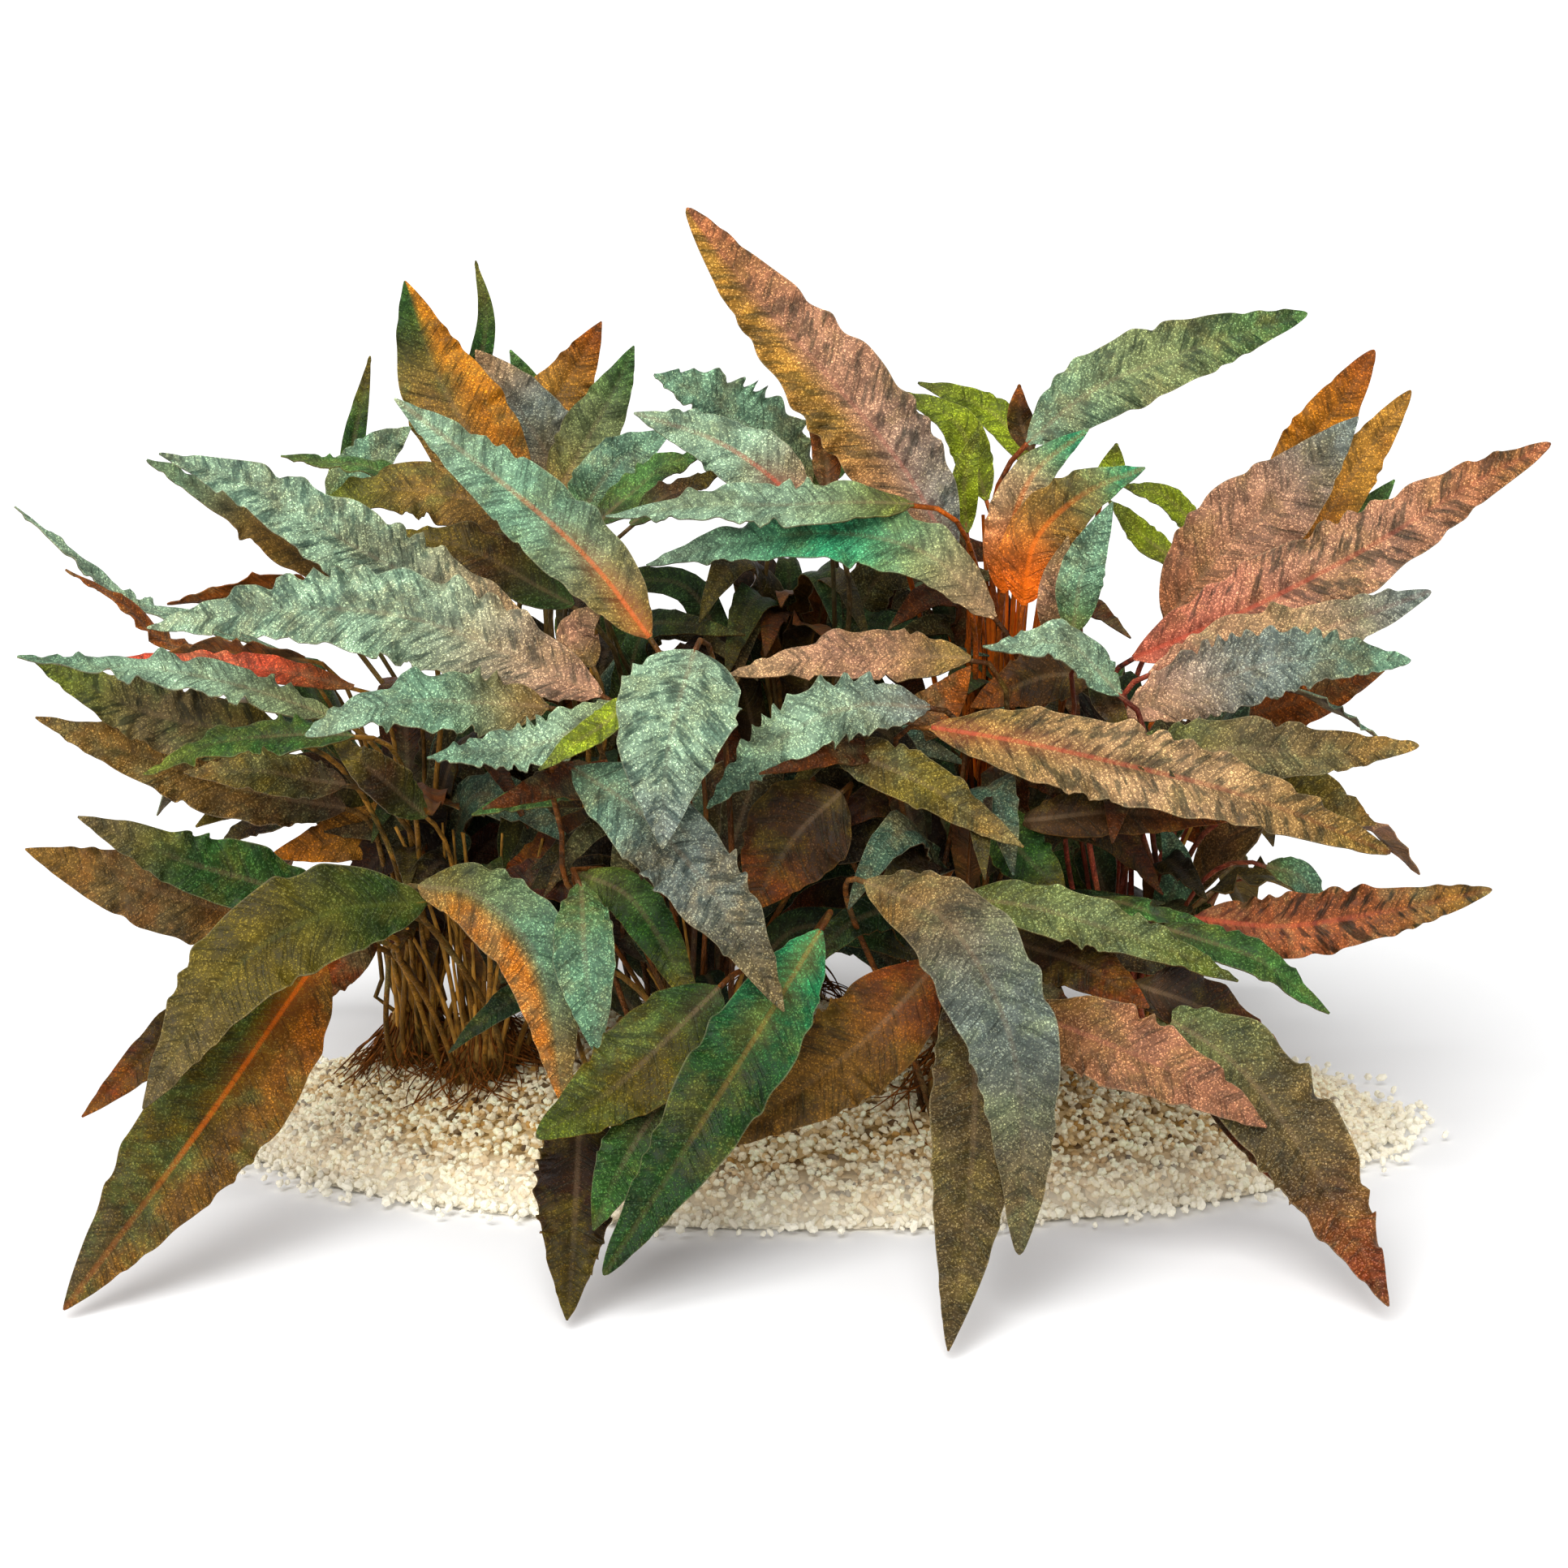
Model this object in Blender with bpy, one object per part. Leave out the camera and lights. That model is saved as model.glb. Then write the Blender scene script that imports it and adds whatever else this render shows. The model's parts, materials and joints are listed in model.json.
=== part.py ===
"""A clump of Cryptocoryne undulata on its mound of aquarium sand.

Every leaf is one lofted solid with its own stalk.  Its line is read from the
photograph in millimetres (right of the middle, above the middle, and depth), and
place() turns such a reading into a point of the real clump.
"""
import math

import bmesh
import bpy
import numpy as np
from mathutils.kdtree import KDTree

MM = 0.001

# The view that the readings were taken in
VIEW_TILT = math.radians(12)
VIEW_DISTANCE = 900.0
AIM_HEIGHT = 86.0

# The sand
MOUND_CENTRE_X = 6.0
MOUND_HALF_WIDTH = 146.0
MOUND_HALF_DEPTH = 85.0
MOUND_HEIGHT = 25.0
MOUND_RIM = 1.6
MOUND_RINGS = 5
MOUND_SIDES = 32

# The crowns
CROWN_RADIUS = 8.0
CROWN_TOP_RADIUS = 5.0
CROWN_BURIED = 5.0
CROWN_RISE = 13.0
CROWN_SIDES = 8
GAP = 0.35

# The leaves
STALK_HALF_WIDTH = 1.15
STALK_HALF_THICKNESS = 1.0
STALK_LEAN = 0.32
STALK_START_PULL = 1.15
STALK_END_PULL = 0.75
FOOT_ROOM = 1.7
FOOT_HEIGHT = 1.6
SMALL_FOOT_INSET = 1.6
SMALL_FOOT_DEPTH = 2.5
RIB_THICKNESS = 1.1
RIB_TAPER = 0.6
RIM_HALF_WIDTH = 0.35
RUFFLE_HEIGHT = 0.45
FOLD = 0.05
WIDEST_POWER = 0.72
ROUNDNESS = 0.93
SLOT_PITCH = math.radians(21)

# How finely a leaf's line is read, and how finely it is lofted
STALK_STEPS = 28
BLADE_STEPS = 34
BLADE_SECTIONS = 8
STALK_SECTIONS = 6
SMALL_BLADE_SECTIONS = 6
SMALL_STALK_SECTIONS = 5
SHORT_BLADE = 46.0
SHORT_BLADE_SECTIONS = 4

# How far leaves are slid apart along the line of sight, and stalks bent sideways
CELL = 3.5
CLEARANCE = 3.4
ROUNDS = 260
LARGEST_SLIDE = 8.0
SAND_CLEARANCE = 1.5
SIGHT_FAR = 300.0
SIGHT_NEAR = -320.0
SIGHT_STEP = 2.0
FREE_DEPTH = 1000.0
STALK_ROOM = 4.3
STALK_ROUNDS = 60
STALK_PUSH = 0.3
LARGEST_PUSH = 1.2

CROWNS = {
    "left": (-92, 2),
    "left_front": (-74, -16),
    "left_back": (-52, 42),
    "middle_front": (-22, -46),
    "middle_back": (2, 46),
    "right_front": (42, -44),
    "right": (86, -8),
    "young": (58, 38),
}

TINTS = {
    "teal": (0.13, 0.24, 0.16),
    "green": (0.06, 0.17, 0.07),
    "pale": (0.20, 0.32, 0.20),
    "olive": (0.14, 0.13, 0.03),
    "bronze": (0.20, 0.13, 0.06),
    "brown": (0.13, 0.06, 0.02),
    "rust": (0.24, 0.07, 0.01),
    "gold": (0.33, 0.17, 0.04),
    "pink": (0.30, 0.16, 0.11),
    "dark": (0.04, 0.07, 0.04),
    "lime": (0.20, 0.34, 0.04),
}

# name, crown, width, face, ruffle, tint, readings from the blade's base to its tip.
# Face is the turn of the upper side: 0 to the sky, 90 to the viewer, under 0 away.
LEAVES = [
    ("leaf_left_thin", "left", 9, 6, 1.0, "pale",
     [(-123, 32.5, 18), (-151, 42, 22), (-166, 49, 25), (-189.5, 68.5, 28)]),
    ("leaf_left_folded", "left", 13, 40, 1.2, "brown",
     [(-96, 45, -4), (-120, 58, -5), (-138, 70, -6), (-157, 80, -7)]),
    ("leaf_left_long", "left_front", 20, 52, 1.2, "teal",
     [(-62, 38, -24), (-85, 48, -22), (-108, 60, -20), (-131, 73, -18), (-154, 81.5, -16)]),
    ("leaf_left_ruffled", "middle_front", 23, 55, 2.0, "teal",
     [(-45, 22, -52), (-70, 33, -48), (-95, 41.5, -43), (-122, 43.5, -38), (-157, 38.5, -34)]),
    ("leaf_left_low_green", "left_front", 12, 28, 1.3, "green",
     [(-110, 16, -34), (-132, 24, -36), (-160, 28.5, -37), (-189, 31.5, -38)]),
    ("leaf_left_olive", "left", 17, 60, 1.4, "olive",
     [(-120, 10, -22), (-140, 14, -24), (-160, 19, -24), (-185, 30.5, -24)]),
    ("leaf_left_bronze", "left", 17, 60, 1.4, "bronze",
     [(-108, -6, -12), (-130, -2, -14), (-152, 5, -15), (-184.5, 16.5, -15)]),
    ("leaf_left_dark_green", "left_front", 12, 28, 1.0, "dark",
     [(-106, 12, -46), (-124, 12.5, -49), (-142, 9, -51), (-158, 2.5, -52)]),
    ("leaf_left_teal_low", "left_front", 16, 60, 1.0, "dark",
     [(-110, -33, -72), (-128, -25, -76), (-150, -18, -79), (-174, -8, -82)]),
    ("leaf_left_gold_low", "left", 19, 68, 1.0, "gold",
     [(-122, -34, -58), (-142, -30, -62), (-163, -24, -65), (-187, -16, -69)]),
    ("leaf_bottom_left_large", "left_front", 29, 72, 0.8, "olive",
     [(-114, -42, -78), (-130, -65, -98), (-152, -96, -121), (-177.5, -129.5, -145)]),
    ("leaf_bottom_left_green", "left_front", 23, 62, 0.9, "green",
     [(-88, -29, -86), (-112, -32, -96), (-136, -46, -106), (-158, -80, -122)]),
    ("leaf_front_left_pale", "middle_front", 16, 50, 1.6, "pale",
     [(-58, 19, -62), (-78, 20.5, -70), (-100, 19, -76), (-118, 12, -82)]),
    ("leaf_middle_left_pale", "middle_front", 13, 40, 1.0, "pale",
     [(-38, 19, -74), (-55, 12, -78), (-70, 8.5, -80), (-88, 6.5, -82)]),
    ("leaf_back_left_tall", "left_back", 25, 80, 0.8, "olive",
     [(-65, 66, 42), (-76, 84, 46), (-87, 104, 49), (-93.5, 124, 50)]),
    ("leaf_back_left_grey", "left_back", 21, 80, 0.8, "pink",
     [(-54, 72, 58), (-60, 84, 61), (-68, 96, 63), (-76, 107, 64)]),
    ("leaf_back_left_gold", "left_back", 16, 80, 0.8, "gold",
     [(-66, 80, 80), (-58, 92, 83), (-51, 103, 85), (-45, 114, 86)]),
    ("leaf_back_left_point", "left_back", 15, 80, 0.8, "olive",
     [(-57, 70, 46), (-49, 84, 49), (-42, 97, 51), (-37, 108, 52)]),
    ("leaf_left_arched_olive", "left", 17, 50, 1.2, "olive",
     [(-56, 58, 2), (-76, 70, 3), (-96, 72.5, 5), (-117, 67, 6)]),
    ("leaf_diagonal_orange_rib", "middle_front", 19, 58, 1.0, "green",
     [(-33, 36, -42), (-47, 54, -34), (-69, 74, -23), (-96, 95, -10)]),
    ("leaf_top_tall", "young", 24, 75, 1.2, "pink",
     [(42, 56, 4), (28, 80, 10), (6, 106, 14), (-10, 124, 16), (-24, 142, 18)]),
    ("leaf_top_serrated", "middle_back", 20, 55, 1.8, "teal",
     [(6, 72, 33), (-4, 84, 32), (-18, 95, 31), (-32, 101, 29)]),
    ("leaf_top_arched", "middle_back", 17, 60, 1.0, "pale",
     [(8, 66, 4), (-5, 77, 7), (-20, 86, 9), (-37, 91.5, 10)]),
    ("leaf_long_level", "young", 14, 36, 0.9, "green",
     [(32, 69, -12), (8, 69.5, -13), (-18, 68.5, -13), (-44, 66, -12)]),
    ("leaf_long_bright", "right_front", 17, 50, 1.0, "green",
     [(52, 41, -24), (36, 56, -21), (12, 62, -18), (-10, 60, -15), (-34, 54, -14)]),
    ("leaf_young_curl", "young", 13, 70, 0.8, "green",
     [(54, 47, -4), (56, 63, -6), (62, 77, -7), (75, 87.5, -8)]),
    ("leaf_young_point", "young", 16, 70, 0.9, "gold",
     [(59, 44, -12), (62, 60, -14), (73, 71, -16), (89, 78, -18)]),
    ("leaf_top_right_long", "young", 18, 74, 1.2, "teal",
     [(60, 84, 8), (76, 97, 8), (100, 107, 8), (129, 116, 8)]),
    ("leaf_back_right_gold", "right", 16, 80, 0.8, "gold",
     [(121, 66, 54), (128, 80, 57), (137, 94, 59), (145.5, 107, 60)]),
    ("leaf_back_right_brown", "right", 13, 80, 0.8, "gold",
     [(128, 56, 38), (136, 70, 41), (145, 84, 43), (154.5, 97, 44)]),
    ("leaf_right_broad_pink", "right", 25, 74, 0.8, "pink",
     [(94, 40, 14), (108, 57, 17), (126, 74, 20), (141.5, 90.5, 22)]),
    ("leaf_right_long", "right", 21, 64, 1.4, "pink",
     [(86, 31, -6), (112, 42, -8), (145, 59, -8), (168, 73, -7), (189, 84, -6)]),
    ("leaf_right_speckled", "right", 17, 64, 1.4, "bronze",
     [(90, 27, -19), (110, 32, -20), (135, 39, -21), (159.5, 47.5, -21)]),
    ("leaf_right_grey_point", "right", 17, 56, 1.3, "teal",
     [(84, 17, -33), (106, 26, -34), (130, 31, -35), (154.5, 30.5, -35)]),
    ("leaf_right_dark_under", "right", 15, 68, 1.2, "rust",
     [(98, 13, 4), (114, 17, 6), (132, 22, 9), (148, 28, 10)]),
    ("leaf_right_low_bronze", "right", 15, 60, 1.2, "bronze",
     [(80, 6, -45), (106, 8.5, -47), (132, 8, -47), (156.5, 9.5, -47)]),
    ("leaf_front_right_long", "right_front", 20, 55, 1.0, "pink",
     [(36, 14, -63), (66, 9, -67), (96, 2, -68), (122, -6, -68), (149.5, -17, -67)]),
    ("leaf_front_saw_edged", "right_front", 15, 50, 2.0, "pale",
     [(36, 19, -58), (18, 19, -63), (0, 12, -69), (-19, -6, -75)]),
    ("leaf_front_drop", "middle_front", 30, 62, 0.8, "pale",
     [(-22, 33, -70), (-26, 20, -84), (-29, 4, -92), (-30, -16, -96)]),
    ("leaf_front_diagonal", "middle_front", 20, 58, 1.4, "teal",
     [(-52, 4, -74), (-32, -10, -88), (-14, -32, -104), (0, -56, -116)]),
    ("leaf_front_lower_green", "middle_front", 20, 64, 0.9, "green",
     [(9, -36, -98), (-8, -64, -116), (-27, -94, -132), (-44.5, -121, -143)]),
    ("leaf_front_bottom_brown", "left_front", 17, 62, 1.0, "brown",
     [(-50, -76, -108), (-51, -95, -122), (-52, -114, -137), (-53.5, -132, -150)]),
    ("leaf_front_olive_low", "middle_front", 21, 56, 0.8, "olive",
     [(-16, -50, -102), (-30, -64, -110), (-45, -77, -118), (-61, -87, -125)]),
    ("leaf_front_left_blue", "left_front", 18, 52, 0.8, "bronze",
     [(-90, -25, -66), (-75, -28, -76), (-60, -45, -88), (-54, -80, -106)]),
    ("leaf_front_brown_low", "right_front", 23, 60, 0.9, "brown",
     [(38, -44, -84), (22, -61, -94), (3, -76, -104), (-17, -89.5, -112)]),
    ("leaf_front_right_drop", "right_front", 22, 62, 1.0, "bronze",
     [(20, -24, -86), (40, -34, -102), (55, -60, -120), (59, -90, -136), (58, -116, -147)]),
    ("leaf_front_bottom_long", "right_front", 19, 68, 0.7, "pink",
     [(45, -44, -92), (47, -75, -114), (45, -108, -139), (40.5, -139.5, -165)]),
    ("leaf_right_low_green", "right_front", 13, 46, 0.9, "pale",
     [(42, -28, -76), (64, -31, -82), (88, -38, -86), (112, -48.5, -89)]),
    ("leaf_right_low_ruffled", "right", 15, 68, 2.0, "rust",
     [(101, -33, -56), (124, -35, -60), (150, -31, -62), (174.5, -26, -63)]),
    ("leaf_right_bottom_pink", "right", 19, 54, 1.1, "pink",
     [(58, -56, -86), (78, -63, -93), (98, -72, -100), (119, -84.5, -108)]),
    ("leaf_bottom_right_large", "right", 22, 60, 1.6, "teal",
     [(92, -56, -80), (112, -70, -94), (131, -95, -114), (149, -128.5, -143)]),
]

# The smaller leaves, which are one solid with the crown that they grow from
SMALL_LEAVES = [
    ("left", 8, 6, 1.0, "rust", [(-125, 30, 6), (-150, 35, 9), (-162, 44, 11), (-177, 53, 14)]),
    ("left", 9, -50, 1.0, "rust", [(-108, 49, 10), (-131, 48, 14), (-152, 44.5, 16)]),
    ("left", 8, -50, 1.0, "rust", [(-118, 31, 2), (-138, 33, 6), (-155, 31.5, 8)]),
    ("left", 8, 40, 1.0, "rust", [(-106, 24, -6), (-138, 30, -3), (-165, 31, -1)]),
    ("left_front", 12, 50, 1.0, "bronze", [(-108, 0, -30), (-130, 3, -34), (-148, 3, -36)]),
    ("left", 7, 40, 0.6, "dark", [(-118, -7, 0), (-131, -10, 2), (-140, -16.5, 4)]),
    ("left", 13, 70, 0.8, "gold", [(-88, -8, -4), (-108, -13, -6), (-127, -18, -8)]),
    ("left", 13, 70, 0.8, "brown", [(-122, -44, -63), (-150, -62, -74), (-173, -82, -87)]),
    ("left_front", 11, 60, 0.8, "rust", [(-101, -36, -64), (-111, -46, -72), (-119, -57, -80)]),
    ("left_front", 11, 60, 0.8, "dark", [(-88, -8, -38), (-100, 2, -42), (-112, 12, -44)]),
    ("middle_front", 7, 50, 0.5, "lime", [(-36, 22, -84), (-50, 11, -87), (-60.5, 3.5, -89)]),
    ("middle_front", 9, 36, 0.8, "green", [(-42, 0, -66), (-60, -2, -70), (-77, -7.5, -72)]),
    ("left_back", 6, 80, 0.6, "olive", [(-109, 66, 50), (-105.5, 87, 54), (-102, 105.5, 58)]),
    ("left_back", 14, 70, 1.0, "teal", [(-112, 68, 40), (-102, 80, 42), (-92, 88, 44)]),
    ("left", 9, 16, 0.8, "green", [(-90, 73, 12), (-107, 79, 14), (-124, 81, 16)]),
    ("left_back", 6, 80, 0.5, "olive", [(-80, 88, 66), (-73.5, 112, 70), (-76, 129, 72)]),
    ("left_back", 8, 80, 0.5, "green", [(-58, 88, 92), (-63, 98, 94), (-67.5, 107, 96)]),
    ("left_back", 15, 70, 0.8, "teal", [(-52, 64, 32), (-41, 79, 34), (-28, 87, 36)]),
    ("left_back", 12, 30, 0.8, "green", [(-46, 64, 18), (-33, 76, 22), (-19, 82, 24)]),
    ("middle_back", 10, 24, 0.8, "dark", [(-38, 64, 10), (-27, 72, 12), (-14, 78, 14)]),
    ("left_back", 15, 50, 1.0, "dark", [(-52, 44, -12), (-76, 57, -10), (-97, 62, -8)]),
    ("left_front", 10, 60, 0.8, "pink", [(-47, 29, -34), (-51, 37, -34), (-45, 44, -34)]),
    ("middle_back", 9, 60, 0.5, "green", [(2, 68, 36), (9, 76, 36), (18, 80, 36)]),
    ("middle_back", 7, 80, 0.5, "rust", [(11, 72, 12), (10, 82, 13), (6, 90, 14)]),
    ("young", 12, 80, 0.5, "rust", [(26, 64, 20), (22, 73, 20), (20, 81.5, 20)]),
    ("young", 8, 36, 0.6, "teal", [(36, 65, 12), (24, 71, 12), (10, 70, 12)]),
    ("young", 11, 80, 0.8, "teal", [(71, 37, -22), (74, 54, -24), (81, 69.5, -26)]),
    ("young", 9, 80, 0.6, "pink", [(68, 34, -16), (67, 48, -18), (70, 61, -18)]),
    ("young", 10, 60, 0.8, "lime", [(50, 70, 16), (43, 88, 20), (28, 97, 22)]),
    ("young", 9, 60, 0.8, "lime", [(62, 78, 26), (51, 92, 30), (33, 99, 32)]),
    ("young", 7, 80, 0.4, "lime", [(45, 62, 15), (44.5, 75, 15), (48, 88, 15)]),
    ("young", 7, 80, 0.5, "brown", [(61, 82, 18), (58, 91, 18), (58, 98.5, 18)]),
    ("young", 7, 80, 0.4, "lime", [(79, 72, 10), (81, 78, 10), (82, 84, 10)]),
    ("young", 8, 50, 0.6, "lime", [(104, 62, 54), (94, 70.5, 56), (83, 74, 58)]),
    ("young", 8, 50, 0.6, "lime", [(97, 54, 44), (88, 62, 46), (80, 70, 48)]),
    ("right", 9, 80, 0.5, "green", [(134, 56, 46), (143, 66, 48), (150.5, 75, 50)]),
    ("right", 14, 60, 1.0, "bronze", [(110, -8, -30), (128, -3, -32), (146, -10, -34)]),
    ("right", 14, 60, 0.8, "brown", [(76, 27, -24), (62, 26, -28), (46, 19, -32)]),
    ("right", 12, 36, 0.8, "pale", [(83, 22, -42), (70, 34, -43), (49, 34, -45)]),
    ("right", 7, 60, 0.4, "dark", [(76, 28, -37), (80, 20, -39), (85, 11, -41)]),
    ("right_front", 11, 70, 0.8, "rust", [(28, 12, -42), (38, 19, -44), (46, 29, -46)]),
    ("right_front", 14, 46, 1.0, "pink", [(46, 31, -34), (18, 32, -36), (-14, 27, -38)]),
    ("left_front", 13, 62, 0.8, "green", [(-30, -78, -114), (-40, -94, -126), (-47, -110, -135)]),
    ("middle_front", 14, 64, 0.8, "teal", [(-50, -24, -82), (-49, -44, -92), (-46, -67, -101)]),
    ("middle_front", 11, 60, 0.8, "olive", [(-50, -22, -62), (-36, -30, -75), (-20, -58, -93)]),
    ("middle_front", 24, 60, 0.8, "brown", [(14, -2, -60), (2, -14, -66), (-8, -31, -73)]),
    ("right_front", 13, 54, 1.0, "bronze", [(10, 11, -54), (34, 0, -64), (59, -15.5, -75)]),
    ("right_front", 14, 56, 0.8, "olive", [(50, -6, -48), (59, -17, -54), (70, -29, -61)]),
    ("right_front", 12, 56, 0.8, "brown", [(58, -9, -50), (84, -7, -53), (110, -9, -56)]),
    ("right", 10, 40, 0.8, "green", [(92, -35, -72), (114, -42, -76), (134.5, -56.5, -81)]),
    ("right", 6, 40, 0.5, "green", [(76, -28, -66), (90, -31, -69), (105, -35, -71)]),
    ("right", 8, 50, 0.5, "teal", [(119, -20, -54), (127, -23, -56), (134, -34, -58)]),
    ("right", 9, 40, 0.8, "rust", [(104, -78, -90), (122, -93, -106), (140, -116, -128)]),
    ("right", 15, 60, 1.0, "brown", [(86, -49, -55), (104, -56, -61), (124, -68, -69)]),
    ("right_front", 15, 60, 0.8, "brown", [(54, -38, -64), (72, -44, -70), (90, -55, -76)]),
    ("right", 9, 70, 0.5, "teal", [(92, -36, -24), (97, -22, -24), (93, -9, -24)]),
]

# The inside and the far side, which the photograph hides: crown, bearing in degrees from
# +X, reach, height of the bend, drop from the bend to the tip, width, face, tint
HIDDEN_LEAVES = [
    ("left", 166, 66, 116, 22, 20, 0, "olive"),
    ("left", 140, 88, 104, 40, 23, 0, "teal"),
    ("left_back", 156, 114, 64, 56, 21, 0, "bronze"),
    ("left_back", 128, 100, 96, 48, 22, 0, "green"),
    ("left_back", 113, 112, 64, 58, 25, 0, "pink"),
    ("left_back", 86, 88, 118, 26, 22, 0, "olive"),
    ("middle_back", 122, 100, 92, 56, 23, 0, "teal"),
    ("middle_back", 104, 112, 58, 54, 25, 0, "brown"),
    ("middle_back", 84, 92, 112, 30, 23, 0, "pink"),
    ("middle_back", 60, 104, 72, 60, 22, 0, "green"),
    ("young", 112, 92, 92, 52, 21, 0, "teal"),
    ("young", 88, 106, 62, 58, 24, 0, "bronze"),
    ("young", 66, 98, 100, 44, 22, 0, "olive"),
    ("young", 46, 104, 70, 60, 22, 0, "green"),
    ("right", 64, 98, 92, 42, 21, 0, "green"),
    ("right", 38, 94, 78, 28, 22, 0, "pink"),
    ("right", 22, 62, 110, 16, 20, 0, "teal"),
    ("right", 4, 54, 66, 18, 19, 0, "bronze"),
    ("left", 205, 50, 90, 10, 16, 55, "dark"),
    ("left", 60, 44, 96, 8, 17, 60, "dark"),
    ("left_back", 200, 48, 88, 12, 18, 60, "olive"),
    ("left_back", 15, 52, 100, 10, 18, 60, "dark"),
    ("left_front", 35, 44, 84, 10, 17, 60, "dark"),
    ("middle_front", 60, 40, 92, 12, 18, 60, "dark"),
    ("middle_front", 156, 46, 80, 12, 17, 60, "brown"),
    ("middle_back", 185, 50, 84, 12, 19, 60, "dark"),
    ("middle_back", 350, 52, 88, 10, 19, 60, "brown"),
    ("right_front", 80, 44, 84, 12, 18, 60, "dark"),
    ("right_front", 160, 50, 72, 16, 17, 60, "brown"),
    ("right", 120, 34, 90, 8, 18, 60, "dark"),
    ("right", 178, 40, 76, 12, 17, 60, "olive"),
    ("young", 200, 48, 88, 10, 18, 60, "dark"),
    ("young", 335, 50, 80, 14, 18, 60, "brown"),
]


def unit(vectors):
    """The same directions with a length of one."""
    vectors = np.asarray(vectors, dtype=float)
    return vectors / np.linalg.norm(vectors, axis=-1, keepdims=True)


def eye():
    """Where the view is taken from."""
    back = -VIEW_DISTANCE * math.cos(VIEW_TILT)
    return np.array([0.0, back, AIM_HEIGHT + VIEW_DISTANCE * math.sin(VIEW_TILT)])


def place(across, up, depth):
    """The real point that the view shows at (across, up), depth millimetres behind the middle."""
    start = eye()
    ray = np.array([across, up * math.sin(VIEW_TILT) - start[1],
                    AIM_HEIGHT + up * math.cos(VIEW_TILT) - start[2]])
    return start + ray * (depth - start[1]) / ray[1]


def read_in_view(points):
    """The view's (across, up) of real points, the inverse of place()."""
    start = eye()
    rays = points - start
    ahead = rays[..., 1] * math.cos(VIEW_TILT) - rays[..., 2] * math.sin(VIEW_TILT)
    above = rays[..., 1] * math.sin(VIEW_TILT) + rays[..., 2] * math.cos(VIEW_TILT)
    return rays[..., 0] * VIEW_DISTANCE / ahead, above * VIEW_DISTANCE / ahead


def slide(points, depths):
    """Points moved along their lines of sight to other depths."""
    start = eye()
    rays = points - start
    return start + rays * ((depths - start[1]) / rays[:, 1])[:, None]


def mound_height(x, y):
    """The height of the sand over the floor."""
    spread = ((x - MOUND_CENTRE_X) / MOUND_HALF_WIDTH) ** 2 + (y / MOUND_HALF_DEPTH) ** 2
    body = np.clip(1.0 - spread, 0.0, 1.0) ** 0.9
    ripple = 1.0 + 0.05 * np.sin(x / 17.0 + 0.8) * np.cos(y / 13.0)
    return np.where(spread < 1.0, MOUND_RIM + (MOUND_HEIGHT - MOUND_RIM) * body * ripple, 0.0)


def smooth_line(points, steps):
    """A Catmull-Rom line through the points, evenly read."""
    points = np.asarray(points, dtype=float)
    ends = np.vstack([2 * points[0] - points[1], points, 2 * points[-1] - points[-2]])
    knots = np.linspace(0, len(points) - 1, 200)
    spans = np.minimum(knots.astype(int), len(points) - 2)
    t = (knots - spans)[:, None]
    a, b, c, d = (ends[spans + i] for i in range(4))
    line = 0.5 * (2 * b + (c - a) * t + (2 * a - 5 * b + 4 * c - d) * t ** 2
                  + (3 * b - a - 3 * c + d) * t ** 3)
    return even(line, steps)


def even(line, steps):
    """The same line read at equal distances."""
    run = np.concatenate([[0], np.cumsum(np.linalg.norm(np.diff(line, axis=0), axis=1))])
    want = np.linspace(0, run[-1], steps)
    return np.stack([np.interp(want, run, line[:, i]) for i in range(3)], axis=1)


def stalk_line(root, rise, base, heading, steps):
    """The stalk's curve, up out of the crown and then along the blade's own heading."""
    reach = np.linalg.norm(base - root)
    t = np.linspace(0, 1, 80)[:, None]
    out = rise * reach * STALK_START_PULL
    into = heading * reach * STALK_END_PULL
    line = ((2 * t ** 3 - 3 * t ** 2 + 1) * root + (t ** 3 - 2 * t ** 2 + t) * out
            + (-2 * t ** 3 + 3 * t ** 2) * base + (t ** 3 - t ** 2) * into)
    return even(line, steps)


def blade_profile(t):
    """Half the blade's width, as a share of its widest, from its base (0) to its tip (1)."""
    return np.sin(math.pi * np.clip(t, 0, 1) ** WIDEST_POWER) ** ROUNDNESS


def hidden_points(crown, bearing, reach, rise, drop):
    """Three points of a hidden blade, from its crown, bearing and bend."""
    x, y = CROWNS[crown]
    way = np.array([math.cos(math.radians(bearing)), math.sin(math.radians(bearing)), 0.0])
    profile = [(0.20, 0.72 * rise), (0.42, 0.96 * rise), (0.68, rise - 0.12 * drop),
               (0.92, rise - 0.52 * drop), (1.10, rise - drop)]
    return [np.array([x, y, 0.0]) + way * reach * out + np.array([0.0, 0.0, height])
            for out, height in profile]


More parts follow.
